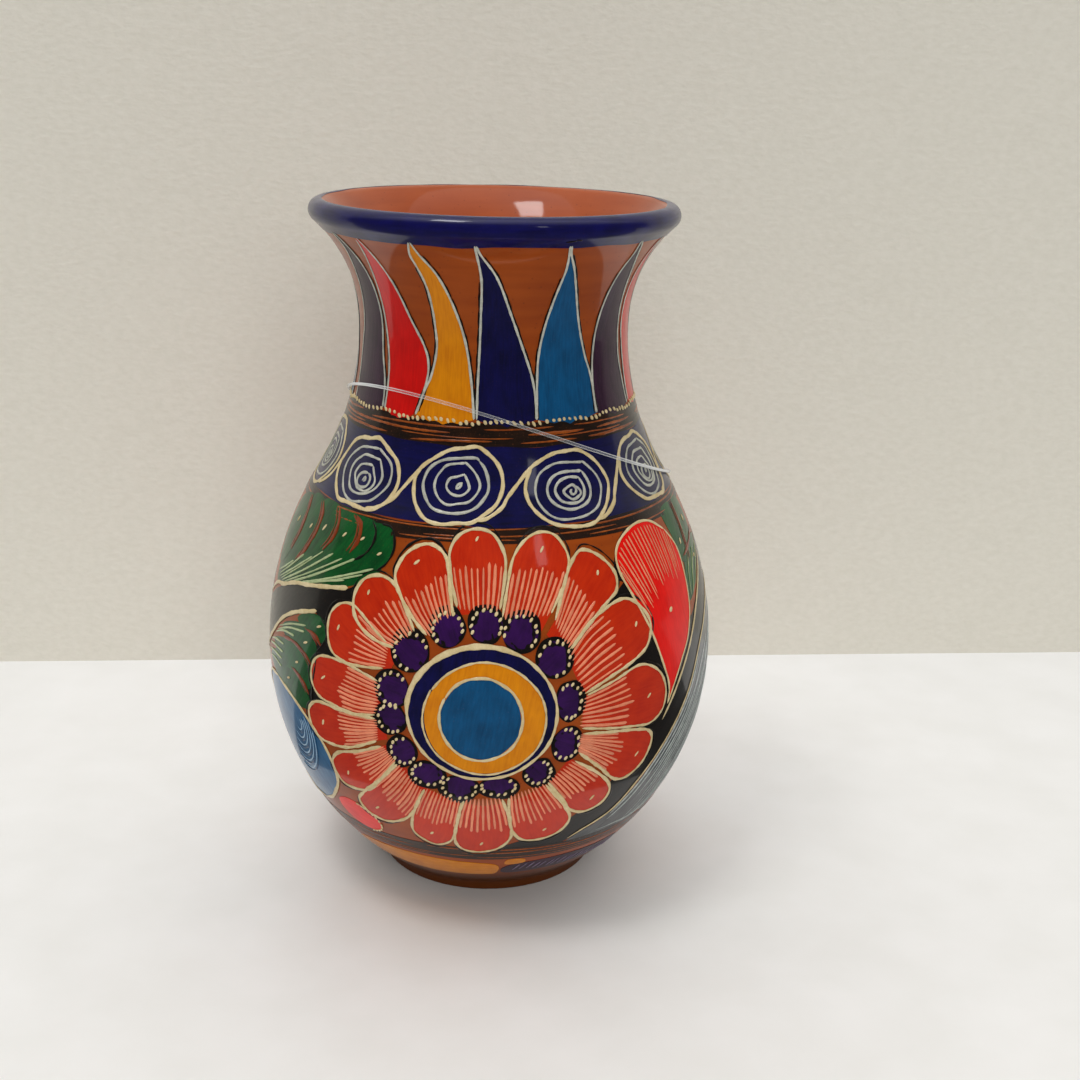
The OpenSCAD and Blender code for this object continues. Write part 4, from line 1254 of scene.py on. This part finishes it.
def addFlowerHearts():
    sheet = Sheet(heartMarks)
    rounds = (("berryHalos", flower["berryHalo"], flower["haloOut"]), ("berryFills", 0.0, 0.0))
    for face in frontAndBack:
        rng = random.Random(face["seed"] + 50)
        turn = face["turn"]
        for deg, z, rx, rz in flower["berries"]:
            deg += rng.uniform(-1, 1) * face["loose"] + turn
            z += rng.uniform(-1, 1) * face["loose"]
            out = wayOut(deg - turn, z)
            for name, grown, push in rounds:
                oval = (*ovalPoint((deg, z, push, push), out), rx + grown, rz + grown)
                marks = wobbly(oval, np.arange(11) * 360 / 11, flower["berryWobble"], rng)
                sheet.fill(name, smoothPath(marks, 0.8, True), rng, turn=math.degrees(out))
            for way in np.linspace(*flower["dotSpan"], flower["dots"]):
                a = out + math.radians(way) + rng.uniform(*flower["dotLoose"])
                sheet.dab("berryDots", *ovalPoint((deg, z, rx, rz), a, flower["dotOut"]), rng)
        for name, (deg, *oval) in flower["rings"].items():
            marks = wobbly((deg + turn, *oval), range(0, 360, 24), flower["ringWobble"], rng)
            sheet.fill(name, smoothPath(marks, 0.9, True), rng)
        for (deg, *oval), width, lift in flower["ringLines"]:
            marks = wobbly((deg + turn, *oval), range(150, 521, 18), flower["lineWobble"], rng)
            sheet.line("flowerRingLines", marks, rng, width=width, lift=lift)
        brow = [ovalPoint((deg + turn, *oval), a, flower["browOut"]) for a in np.radians(range(60, 190, 14))]
        sheet.line("flowerRingLines", brow, rng, width=1.6, tone=0.6, tail=(6, 6), uneven=0.15)
    sheet.lay()


addPetals()
addFlowerHearts()

# Dark ground between the motifs on both sides of the flower
ground = {
    "left": [(-90, 79), (-80, 86.5), (-72, 91.4), (-61, 96), (-50, 98.6), (-39, 101), (-33.6, 104.6),
        (-31, 100), (-34, 92), (-36, 84), (-38, 74), (-40, 66), (-46, 64), (-52, 67), (-52, 76),
        (-49, 84), (-48, 92), (-57, 88.6), (-65, 83.6), (-76, 75), (-88, 66)],
    "right": [(88, 106), (76, 98.6), (67, 91.2), (60, 88), (50, 96), (40, 104), (35, 103), (30, 97),
        (33, 88), (36, 76), (38, 66), (36, 54), (30, 44), (22, 36), (14, 31.5), (6, 28), (2, 26.2),
        (14, 25.8), (23, 26.2), (36.4, 35.7), (47, 49), (58.2, 65), (65.3, 77), (76, 86.5), (88, 95)],
    "top": [(34, 106), (36.4, 112.4), (41, 116.4), (48, 118.4), (55, 117), (50, 110), (40, 104)],
}

# Leaves: scales that overlap towards a stem on the left, and one that leans in from the right
leaves = {
    "lobeStep": 0.012, "veinGap": 1.3,
    "nearVein": {"width": (0.4, 0.7), "tone": (0.2, 0.5), "tail": (6, 6), "uneven": 0.3},
    "upper": [
        [(-29.6, 118), (-27.9, 115.5), (-27.4, 112.5), (-28.7, 109.3), (-32, 107), (-38, 107),
         (-40, 112), (-37, 118)],
        [(-36.5, 119), (-34.6, 116.6), (-34.2, 113.5), (-36, 110.5), (-40, 107.8), (-46, 107.5),
         (-46, 118)],
        [(-43, 119.3), (-40.4, 117), (-39.6, 113.5), (-41.3, 109.8), (-46, 106.5), (-52, 106),
         (-52, 118.6)],
        [(-51.5, 119.6), (-49.4, 115.8), (-49.7, 111.8), (-52, 108), (-56.5, 105), (-62, 104),
         (-62, 118.6)],
        [(-61.2, 119.4), (-58.5, 115.5), (-58.4, 111), (-60.4, 106), (-64, 101.5), (-70, 100),
         (-71, 117.5)],
        [(-71, 118.6), (-68.4, 114), (-68.2, 108.6), (-70, 103), (-74, 98.6), (-80, 98), (-82, 114)],
    ],
    "heart": [(-76, 92), (-68, 94), (-60.8, 96.9), (-53.5, 98.6), (-46.2, 100.2), (-38.6, 101.8),
        (-33, 104.6), (-29.6, 108), (-36, 110), (-48, 110), (-58, 109), (-68, 107), (-77, 103)],
    "lower": [
        [(-56, 88), (-50, 91.4), (-45, 91), (-43, 88.4), (-44.4, 84.6), (-50, 85.4)],
        [(-64, 82.6), (-56, 87), (-50.5, 86), (-46.4, 83), (-46.6, 78), (-52, 77)],
        [(-70, 76), (-62, 80), (-54, 80.2), (-48.4, 77.4), (-47.4, 71.6), (-51, 69), (-58, 70)],
        [(-74, 70), (-66, 74.5), (-56, 73.4), (-50.6, 69.8), (-48, 64.4), (-54, 62.8), (-64, 65.6)],
    ],
    "right": [
        [(63.4, 103), (62, 110), (60.6, 117), (66, 118.6), (71, 117), (70.5, 109), (69, 102)],
        [(71, 103), (71.4, 110), (72, 117.6), (77, 118.6), (81, 115), (79, 108), (76, 102)],
        [(62.6, 92), (63.4, 99), (66, 104), (74, 106), (82, 106), (80, 103), (72, 97)],
    ],
    "feather": [(24, 25.4), (36.6, 35), (47.4, 48.4), (58.8, 64.4), (66, 76.4), (77, 85.8), (90, 93),
        (97, 80), (92, 62), (82, 46), (66, 33), (46, 25.6)],
    "veins": [
        [(-43, 119), (-40.2, 117), (-39.4, 113.5), (-41.2, 109.8)],
        [(-51.5, 119.4), (-49.2, 115.8), (-49.5, 111.8), (-52, 108)],
        [(-61.2, 119), (-58.3, 115.5), (-58.2, 111), (-60.4, 106), (-63.6, 101.6)],
        [(-71, 118.4), (-68.2, 114), (-68, 108.6), (-70, 103)],
        [(-50.8, 86.6), (-47.6, 86), (-44.6, 83.6)],
        [(-62.3, 80.2), (-57, 81), (-51.4, 79.7), (-47.4, 76.8)],
        [(-56, 73.4), (-51.6, 71.4), (-48.6, 68.2)], [(71.4, 118), (70.6, 109), (69.4, 102)],
        [(82, 108), (74, 106), (66, 104)],
    ],
    "scales": [
        [(-33, 118.6), (-29.6, 118), (-27.7, 115.5), (-27.2, 112.5), (-28.5, 109.3), (-31, 107.4)],
        [(-36.5, 118.8), (-34.4, 116.6), (-34, 113.5), (-35.8, 110.5), (-39, 108.4)],
        [(-46.4, 91.6), (-43, 88.6), (-44.2, 84.6), (-46.2, 82)],
        [(-46.2, 82), (-46.4, 78), (-47.2, 71.6), (-47.8, 64.6)],
    ],
    "sage": [
        [(-63, 95.6), (-47.5, 101.4), (-32, 107.4)], [(-59, 97), (-47, 101), (-34.8, 105.6)],
        [(-66, 94.6), (-52.4, 101.2), (-38.7, 108.7)], [(-68, 94.2), (-55.4, 100.8), (-43, 108)],
        [(-70, 94), (-58.4, 100.6), (-47, 108.3)], [(-71.5, 94), (-61.4, 100.4), (-51.5, 107.9)],
        [(-73, 94.2), (-64.2, 99.4), (-55.7, 105.3)], [(-74, 94.6), (-67, 99.2), (-60, 104.6)],
        [(-76, 95), (-70.6, 97.8), (-65.2, 101.2)], [(-57, 97.6), (-49, 100.4), (-40.5, 103)],
        [(-66, 82), (-58.6, 85.4), (-51.5, 87.4)], [(-67, 80.6), (-59.4, 84), (-51.8, 85.4)],
        [(-69, 79), (-62.6, 81.8), (-56.4, 82.6)], [(-73, 75.6), (-67.6, 77.4), (-62, 78)],
        [(-75, 73.4), (-68.6, 75.2), (-62.3, 75.4)], [(-75, 71.6), (-69, 73), (-63, 73.2)],
        [(-74, 70), (-68.6, 71), (-63.4, 70.8)], [(64, 93), (65, 98), (68, 103)],
        [(66, 93.4), (69, 99), (74, 104)], [(69, 94.6), (74, 100), (80, 104)],
    ],
    "borders": [
        [(-84, 85), (-74.7, 91.6), (-68, 93.6), (-60.8, 96.5), (-53.5, 98.2), (-46.2, 99.8),
         (-38.6, 101.2)],
        [(-88, 65), (-79.8, 71), (-71.8, 77.9), (-64.5, 84.7), (-57.2, 89.3), (-48, 92.5)],
    ],
    "dashes": [(-31.2, 111.4, 28), (-38, 114, 35), (-45, 113.7, 42), (-54.6, 113.4, 55), (-62, 112, 55),
        (-73, 111, 60), (-46.2, 88.8, 22), (-50.8, 82.8, 22), (-54.2, 75.8, 20), (-58.6, 69.3, 20),
        (66, 108, 70), (75.6, 112, 80), (74, 101.6, 20)],
}

# Round blue drop, pink bud, red pod, and the band beside it
drop = {
    "loop": [(-66, 66.6), (-57.2, 64.3), (-50, 60), (-44.8, 54.1), (-42.6, 47.3), (-43, 42.2),
        (-45.5, 38), (-50, 33.6), (-55.7, 30.7), (-68, 30), (-77, 36), (-82, 46), (-81, 57),
        (-75, 64.6)],
    "ripple": (-55.4, 56.4), "ripples": 6, "rippleSize": 1.7, "rippleStep": 1.75, "rippleTall": 1.2,
    "drift": (-0.45, -0.55), "shadeOut": 0.75,
}
bud = {
    "middle": (-39.4, 31.4), "long": 8.8, "wide": 5.0, "lean": -13, "ticks": 13, "tickFrom": 0.86,
    "tickSpan": 0.42,
}
pod = {
    "loop": [(48.6, 66.6), (49, 72), (46.3, 80.4), (42.6, 90.7), (39, 99.2), (35.8, 106.8),
        (36.1, 111.9), (39.7, 115.3), (46.3, 117.3), (52.8, 116.6), (58.7, 113.2), (62.3, 107.7),
        (62.7, 100), (61.6, 90.7), (58.7, 83), (55, 77.9), (51.4, 71.9)],
    "tip": 5, "turnAt": 11, "hatchTo": (61, 62), "hatch": 21, "dot": (51.8, 93), "hatchStart": 0.02,
    "hatchSpan": 0.9, "hatchLong": (0.27, 0.36), "hatchFade": 0.3,
}
band = {
    "yellow": [(47, 62.1), (53.6, 72.3), (59.5, 80.4), (66, 89.4), (72.6, 95.8), (80, 101)],
    "pale": [(24, 27.6), (28.1, 30.3), (36.1, 35.4), (42.7, 43.9), (50, 54.1), (58, 65.1), (65.3, 77),
        (70.4, 82.1), (75.5, 86.4), (86, 93)],
    "strokes": 13, "away": 2.2, "awayStep": 1.75, "awayLoose": (-0.5, 0.5), "from": (0, 0.4),
    "to": (0.6, 1.0), "slant": (0.72, 0.62), "leastZ": 27.5, "skip": 9,
}
sprayMarks = {
    "darkGround": asFill("black", "black_paint", "dark_ground", lift=0.05, turn=40),
    "featherGround": asFill("slate", "black_paint", lift=0.08, turn=45, tone=0.35),
    "leafLobes": asFill("leaf", "green_paint", "leaves", lift=0.1, turn=55, tone=(0.3, 0.7)),
    "leafVeins": asLine("rust", "brown_paint", lift=0.18, flatness=0.12, width=(0.9, 1.5), tone=(0.3, 0.7),
                        tail=(4, 4), uneven=0.2),
    "leafScaleLines": asLine("black", "black_paint", lift=0.17, flatness=0.14, width=(0.5, 0.8), tone=0.4,
                             tail=(4, 4), uneven=0.3),
    "leafStrokes": asLine("sage", "cream_paint", lift=0.21, sides=6, width=(0.5, 0.78), tone=(0.3, 0.8),
                          tail=(14, 1.5)),
    "featherStrokes": asLine("frost", "cream_paint", lift=0.13, sides=6, width=(0.4, 1.1), tone=(0.1, 0.8),
                             tail=(16, 16), step=1.2),
    "blueDrops": asFill("dropBlue", "sky_paint", "blue_drops", lift=0.13, turn=120),
    "dropRipples": asLine("iceBlue", "sky_paint", lift=0.18, sides=6, width=0.5, tone=0.6, tail=(6, 6)),
    "dropRippleShades": asLine("sky", "sky_paint", lift=0.16, sides=6, width=0.6, tone=0.2, tail=(6, 6)),
    "pinkBuds": asFill("pink", "pink_paint", "pink_buds", lift=0.13, grid=2.0, turn=bud["lean"]),
    "redPods": asFill("scarlet", "red_paint", "red_pods", lift=0.1, turn=100),
    "podHatching": asLine("salmon", "cream_paint", lift=0.15, sides=6, width=(0.42, 0.62), tone=(0.3, 0.8),
                          tail=(1.5, 12)),
    "podOutlines": asLine("cream", "cream_paint", lift=0.16),
    "sprayBorders": asLine("cream", "cream_paint"),
    "sprayDashes": asDab("cream", "cream_paint", lift=0.22, length=(1.7, 2.5), width=0.75, tone=0.7),
}


def drawLeaves(sheet, drawn, rng, face):
    for key in ("left", "right", "top"):
        sheet.fill("darkGround", smoothPath(drawn(ground[key]), 1.0, True), rng)
    sheet.fill("leafLobes", smoothPath(drawn(leaves["heart"]), 1.0, True), rng, turn=30, lift=0.09, tone=0.3)
    for part in ("upper", "lower", "right"):
        for number, lobe in enumerate(leaves[part]):
            lift = sprayMarks["leafLobes"]["lift"] + leaves["lobeStep"] * number
            sheet.fill("leafLobes", smoothPath(drawn(lobe), 0.9, True), rng, lift=lift)
    sheet.fill("featherGround", smoothPath(drawn(leaves["feather"]), 1.0, True), rng)
    for line in leaves["veins"]:
        sheet.line("leafVeins", drawn(line), rng)
        near = turned(line, -leaves["veinGap"])
        sheet.line("leafVeins", drawn(near), rng, **leaves["nearVein"])
    for line in leaves["scales"]:
        sheet.line("leafScaleLines", drawn(line), rng)
    for line in leaves["sage"]:
        sheet.line("leafStrokes", drawn(line), rng)
    for line in leaves["borders"]:
        sheet.line("sprayBorders", drawn(line), rng, width=1.25, tone=0.55, tail=(20, 1))
    for deg, z, lean in leaves["dashes"]:
        deg += face["turn"] + rng.uniform(-1, 1) * face["loose"]
        sheet.dab("sprayDashes", deg, z + rng.uniform(-1, 1) * face["loose"], rng, turn=lean)


def drawDrop(sheet, drawn, rng, turn):
    loop = drawn(drop["loop"])
    sheet.fill("blueDrops", smoothPath(loop, 1.0, True), rng)
    sheet.line("sprayBorders", loop[:9], rng, width=1.2, tail=(4, 6))
    sheet.line("sprayBorders", loop[8:] + loop[:1], rng, width=1.0, tail=(3, 3))
    rippleX, rippleZ = drop["ripple"]
    driftX, driftZ = drop["drift"]
    for k in range(drop["ripples"]):
        size = drop["rippleSize"] + drop["rippleStep"] * k
        oval = (rippleX + turn + driftX * k, rippleZ + driftZ * k, size, size * drop["rippleTall"])
        span = np.radians(range(-140 + 6 * k, 66 - 8 * k, 18))
        sheet.line("dropRipples", [ovalPoint(oval, a) for a in span], rng)
        sheet.line("dropRippleShades", [ovalPoint(oval, a, 1 + drop["shadeOut"] / size) for a in span], rng)


def drawBud(sheet, drawn, rng):
    lean = math.radians(bud["lean"])
    edge = []
    for a in np.radians(range(0, 360, 24)):
        x = bud["long"] * math.cos(a)
        y = bud["wide"] * math.sin(a)
        edge.append((bud["middle"][0] + (x * math.cos(lean) - y * math.sin(lean)) / flatX,
                     bud["middle"][1] + x * math.sin(lean) + y * math.cos(lean)))
    sheet.fill("pinkBuds", smoothPath(drawn(edge), 0.8, True), rng)
    rim = smoothPath(drawn(edge, 0), 0.5, True)
    for k in range(bud["ticks"]):
        spot = rim[int(len(rim) * (bud["tickFrom"] + bud["tickSpan"] * k / bud["ticks"])) % len(rim)]
        sheet.dab("sprayDashes", *spot, rng, length=1.4, turn=20 + 12 * k, tone=0.6)


def drawPod(sheet, drawn, rng, turn):
    loop = drawn(pod["loop"])
    sheet.fill("redPods", smoothPath(loop, 1.0, True), rng)
    sheet.line("podOutlines", loop[:pod["turnAt"]], rng, width=0.75, tone=0.55, tail=(4, 2))
    sheet.line("podOutlines", loop[pod["turnAt"] - 1:] + loop[:1], rng, width=0.65, tail=(2, 4))
    tips = smoothPath(loop[pod["tip"]:pod["turnAt"] + 1], 0.4)
    start = pod["hatchStart"]
    for k in range(pod["hatch"]):
        tip = tips[int(len(tips) * (start + pod["hatchSpan"] * k / pod["hatch"]))]
        aim = np.array([pod["hatchTo"][0] + turn + rng.uniform(-1, 1), pod["hatchTo"][1]])
        share = rng.uniform(*pod["hatchLong"]) * (1 - pod["hatchFade"] * k / pod["hatch"])
        sheet.line("podHatching", [tip + (aim - tip) * (start + share * part) for part in (0, 0.5, 1)], rng)
    dotX, dotZ = pod["dot"]
    sheet.dab("sprayDashes", dotX + turn, dotZ, rng, length=1.8, width=1.3, turn=40, tone=0.8)


def drawBand(sheet, drawn, rng, turn):
    sheet.line("sprayBorders", drawn(band["yellow"]), rng, width=1.0, tone=0.3, tail=(6, 12))
    sheet.line("sprayBorders", drawn(band["pale"]), rng, width=0.8, tail=(10, 10))
    path = smoothPath(turned(band["pale"], turn), 1.0)
    slantX, slantZ = band["slant"]
    for k in range(band["strokes"]):
        away = band["away"] + band["awayStep"] * k + rng.uniform(*band["awayLoose"])
        part = path[int(len(path) * rng.uniform(*band["from"])):int(len(path) * rng.uniform(*band["to"]))]
        least = band["leastZ"] + 0.05 * k
        marks = [(x + away * slantX / flatX, max(z - away * slantZ, least)) for x, z in part[::band["skip"]]]
        sheet.line("featherStrokes", marks, rng)


def addSprays():
    sheet = Sheet(sprayMarks)
    for face in frontAndBack:
        rng = random.Random(face["seed"] + 100)

        def drawn(points, amount=0.12):
            return turned(shake(points, rng, amount + face["loose"] * 0.6), face["turn"])
        drawLeaves(sheet, drawn, rng, face)
        drawDrop(sheet, drawn, rng, face["turn"])
        drawBud(sheet, drawn, rng)
        drawPod(sheet, drawn, rng, face["turn"])
        drawBand(sheet, drawn, rng, face["turn"])
    sheet.lay()


addSprays()

# Strokes round the foot: gold, then a plum patch with slanted ticks
foot = {
    "gold": [(-52, 12.6), (-40, 11.4), (-20, 11), (-2, 11.2), (3.4, 12.2), (3, 17.4), (-10, 18.6),
        (-30, 19.2), (-46, 18.6), (-53, 16)],
    "dabGold": [(6, 18), (9, 17.4), (12.4, 18), (12.6, 20), (9, 20.4), (6.4, 20)],
    "plum": [(6, 12.4), (20, 12), (38, 12.4), (50, 14), (51, 18.6), (40, 19), (24, 18.8), (8, 17.2)],
    "ticks": 17, "tickFrom": 9, "tickSpan": 40, "tickLoose": (-0.5, 0.5), "tickLow": (13.4, 14.2),
    "tick": [(0, 0), (1.0, 1.6), (2.2, 3.4)],
}
footMarks = {
    "footGold": asFill("ochre", "ochre_paint", "foot_gold", turn=0, tone=(0.4, 0.6)),
    "footPlum": asFill("plum", "plum_paint", "foot_plum", turn=0),
    "footTicks": asLine("lilac", "plum_paint", lift=0.18, sides=6, width=(0.45, 0.7), tone=(0.3, 0.7),
                        tail=(2, 3)),
}


def addFootStrokes():
    sheet = Sheet(footMarks)
    for face in frontAndBack:
        rng = random.Random(face["seed"] + 200)
        for name, key in (("footGold", "gold"), ("footGold", "dabGold"), ("footPlum", "plum")):
            marks = turned(shake(foot[key], rng, 0.2 + face["loose"] * 0.4), face["turn"])
            sheet.fill(name, smoothPath(marks, 1.0, True), rng)
        for k in range(foot["ticks"]):
            share = k / (foot["ticks"] - 1)
            deg = foot["tickFrom"] + foot["tickSpan"] * share + rng.uniform(*foot["tickLoose"]) + face["turn"]
            low = rng.uniform(*foot["tickLow"])
            sheet.line("footTicks", [(deg + x, low + z) for x, z in foot["tick"]], rng)
    sheet.lay()


addFootStrokes()

# Stage: a white table that ends in front, and a pale plastered wall close behind
stage = {
    "tableFront": -0.62, "tableNear": (0.03, 0.045), "tableBack": 1.2, "nearDisc": 0.09,
    "tableHalf": 0.95, "wallY": (0.1014, 0.1946), "wallHigh": 1.1,
    "table": {
        "color": (238, 237, 234), "deep": (233, 232, 228), "scale": 40, "stretch": (1, 1, 1),
        "rough": 0.5, "relief": 0.06, "depth": 0.0004,
    },
    "plaster": {
        "color": (239, 235, 223), "deep": (233, 229, 216), "scale": 300, "stretch": (1, 1, 1.9),
        "rough": 0.85, "relief": 0.4, "depth": 0.0012,
    },
}


def stageMaterial(name):
    look = stage[name]
    made, nodes = newMaterial(name)
    build(made.node_tree, nodes, {
        "place": ("ShaderNodeTexCoord", {}),
        "spread": ("ShaderNodeMapping", {"Scale": look["stretch"]}),
        "noise": ("ShaderNodeTexNoise", {"Scale": look["scale"], "Detail": 6}),
        "ramp": ("ShaderNodeValToRGB", {}),
        "bump": ("ShaderNodeBump", {"Strength": look["relief"], "Distance": look["depth"]}),
    }, [
        "place.Object > spread.Vector", "spread.Vector > noise.Vector", "noise.Fac > ramp.Fac",
        "noise.Fac > bump.Height", "ramp.Color > bsdf.Base Color", "bump.Normal > bsdf.Normal",
    ])
    setRamp(nodes["ramp"], (0.3, srgb(*look["deep"])), (0.7, srgb(*look["color"])))
    setInputs(nodes["bsdf"], {"Roughness": look["rough"]})
    return made, nodes


def addPlane(name, corners, material):
    mesh = newMesh(name, corners, (), [tuple(range(len(corners)))])
    mesh.materials.append(material)
    made = addObject(name, mesh)
    return made


def addStage():
    half = stage["tableHalf"]
    disc = stage["nearDisc"]
    far = stage["tableBack"]
    edge = stage["tableFront"]
    high = stage["wallHigh"]
    left, right = stage["tableNear"]
    table = stageMaterial("table")[0]
    span = np.linspace(-math.asin(left / disc), math.pi + math.asin(right / disc), 49)
    hollow = [(-disc * math.cos(a), -disc * math.sin(a), 0) for a in span]
    bay = [(-half, left, 0), *hollow, (half, right, 0)]
    addPlane("table", bay + [(half, far, 0), (-half, far, 0)], table)
    front = addPlane("tableFront", [(-half, edge, 0), (half, edge, 0)] + bay[::-1], table)
    front.visible_glossy = False
    # seen from behind, the wall is clear
    plaster, nodes = stageMaterial("plaster")
    build(plaster.node_tree, nodes, {
        "back": ("ShaderNodeNewGeometry", {}),
        "clear": ("ShaderNodeBsdfTransparent", {}),
        "mix": ("ShaderNodeMixShader", {}),
    }, ["back.Backfacing > mix.0", "bsdf.0 > mix.1", "clear.0 > mix.2", "mix.0 > output.0"])
    wallLeft, wallRight = stage["wallY"]
    corners = [(-half, wallLeft, 0), (half, wallRight, 0), (half, wallRight, high), (-half, wallLeft, high)]
    wall = addPlane("wall", corners, plaster)
    wall.visible_shadow = False
    wall.visible_diffuse = False


addStage()

# Light: a dim room, a soft lamp high on the left, a faint glint and a fill from the front
lights = {
    "aim": (0, 0, 0.1),
    "world": {
        "strength": 1.3, "low": (0.06, 0.059, 0.058, 1), "high": (1.0, 0.99, 0.975, 1), "from": 0.3,
        "to": 0.85, "up": (0, 0.5, 0.85),
    },
    "window": {
        "place": (-0.48, -0.36, 1.66), "size": (0.38, 0.38), "power": 5.5, "gloss": True, "roll": 20,
    },
    "glint": {"place": (0.63, -1.09, 0.93), "size": (0.14, 0.3), "power": 0.35, "gloss": True, "roll": 0},
    "fill": {"place": (0.15, -1.5, 0.8), "size": (0.9, 0.9), "power": 10, "gloss": False, "roll": 0},
}


def addLight(name):
    lamp = lights[name]
    data = bpy.data.lights.new(name, "AREA")
    data.shape = "RECTANGLE"
    data.size, data.size_y = lamp["size"]
    data.energy = lamp["power"]
    made = addObject(name + "Light", data)
    made.location = lamp["place"]
    made.rotation_mode = "QUATERNION"
    aim = Vector(lights["aim"]) - made.location
    roll = Quaternion((0, 0, 1), math.radians(lamp["roll"]))
    made.rotation_quaternion = aim.to_track_quat("-Z", "Y") @ roll
    made.visible_glossy = lamp["gloss"]


def addWorld():
    room = lights["world"]
    world = bpy.data.worlds.new("room")
    scene.world = world
    world.use_nodes = True
    nodes = {"back": world.node_tree.nodes["Background"]}
    build(world.node_tree, nodes, {
        "place": ("ShaderNodeTexCoord", {}),
        "slant": ("ShaderNodeVectorMath", {1: room["up"]}, {"operation": "DOT_PRODUCT"}),
        "ramp": ("ShaderNodeValToRGB", {}),
    }, ["place.Generated > slant.0", "slant.Value > ramp.Fac", "ramp.Color > back.Color"])
    setRamp(nodes["ramp"], (room["from"], room["low"]), (room["to"], room["high"]))
    setInputs(nodes["back"], {"Strength": room["strength"]})


addWorld()
for lightName in ("window", "glint", "fill"):
    addLight(lightName)
print("stage and light set")
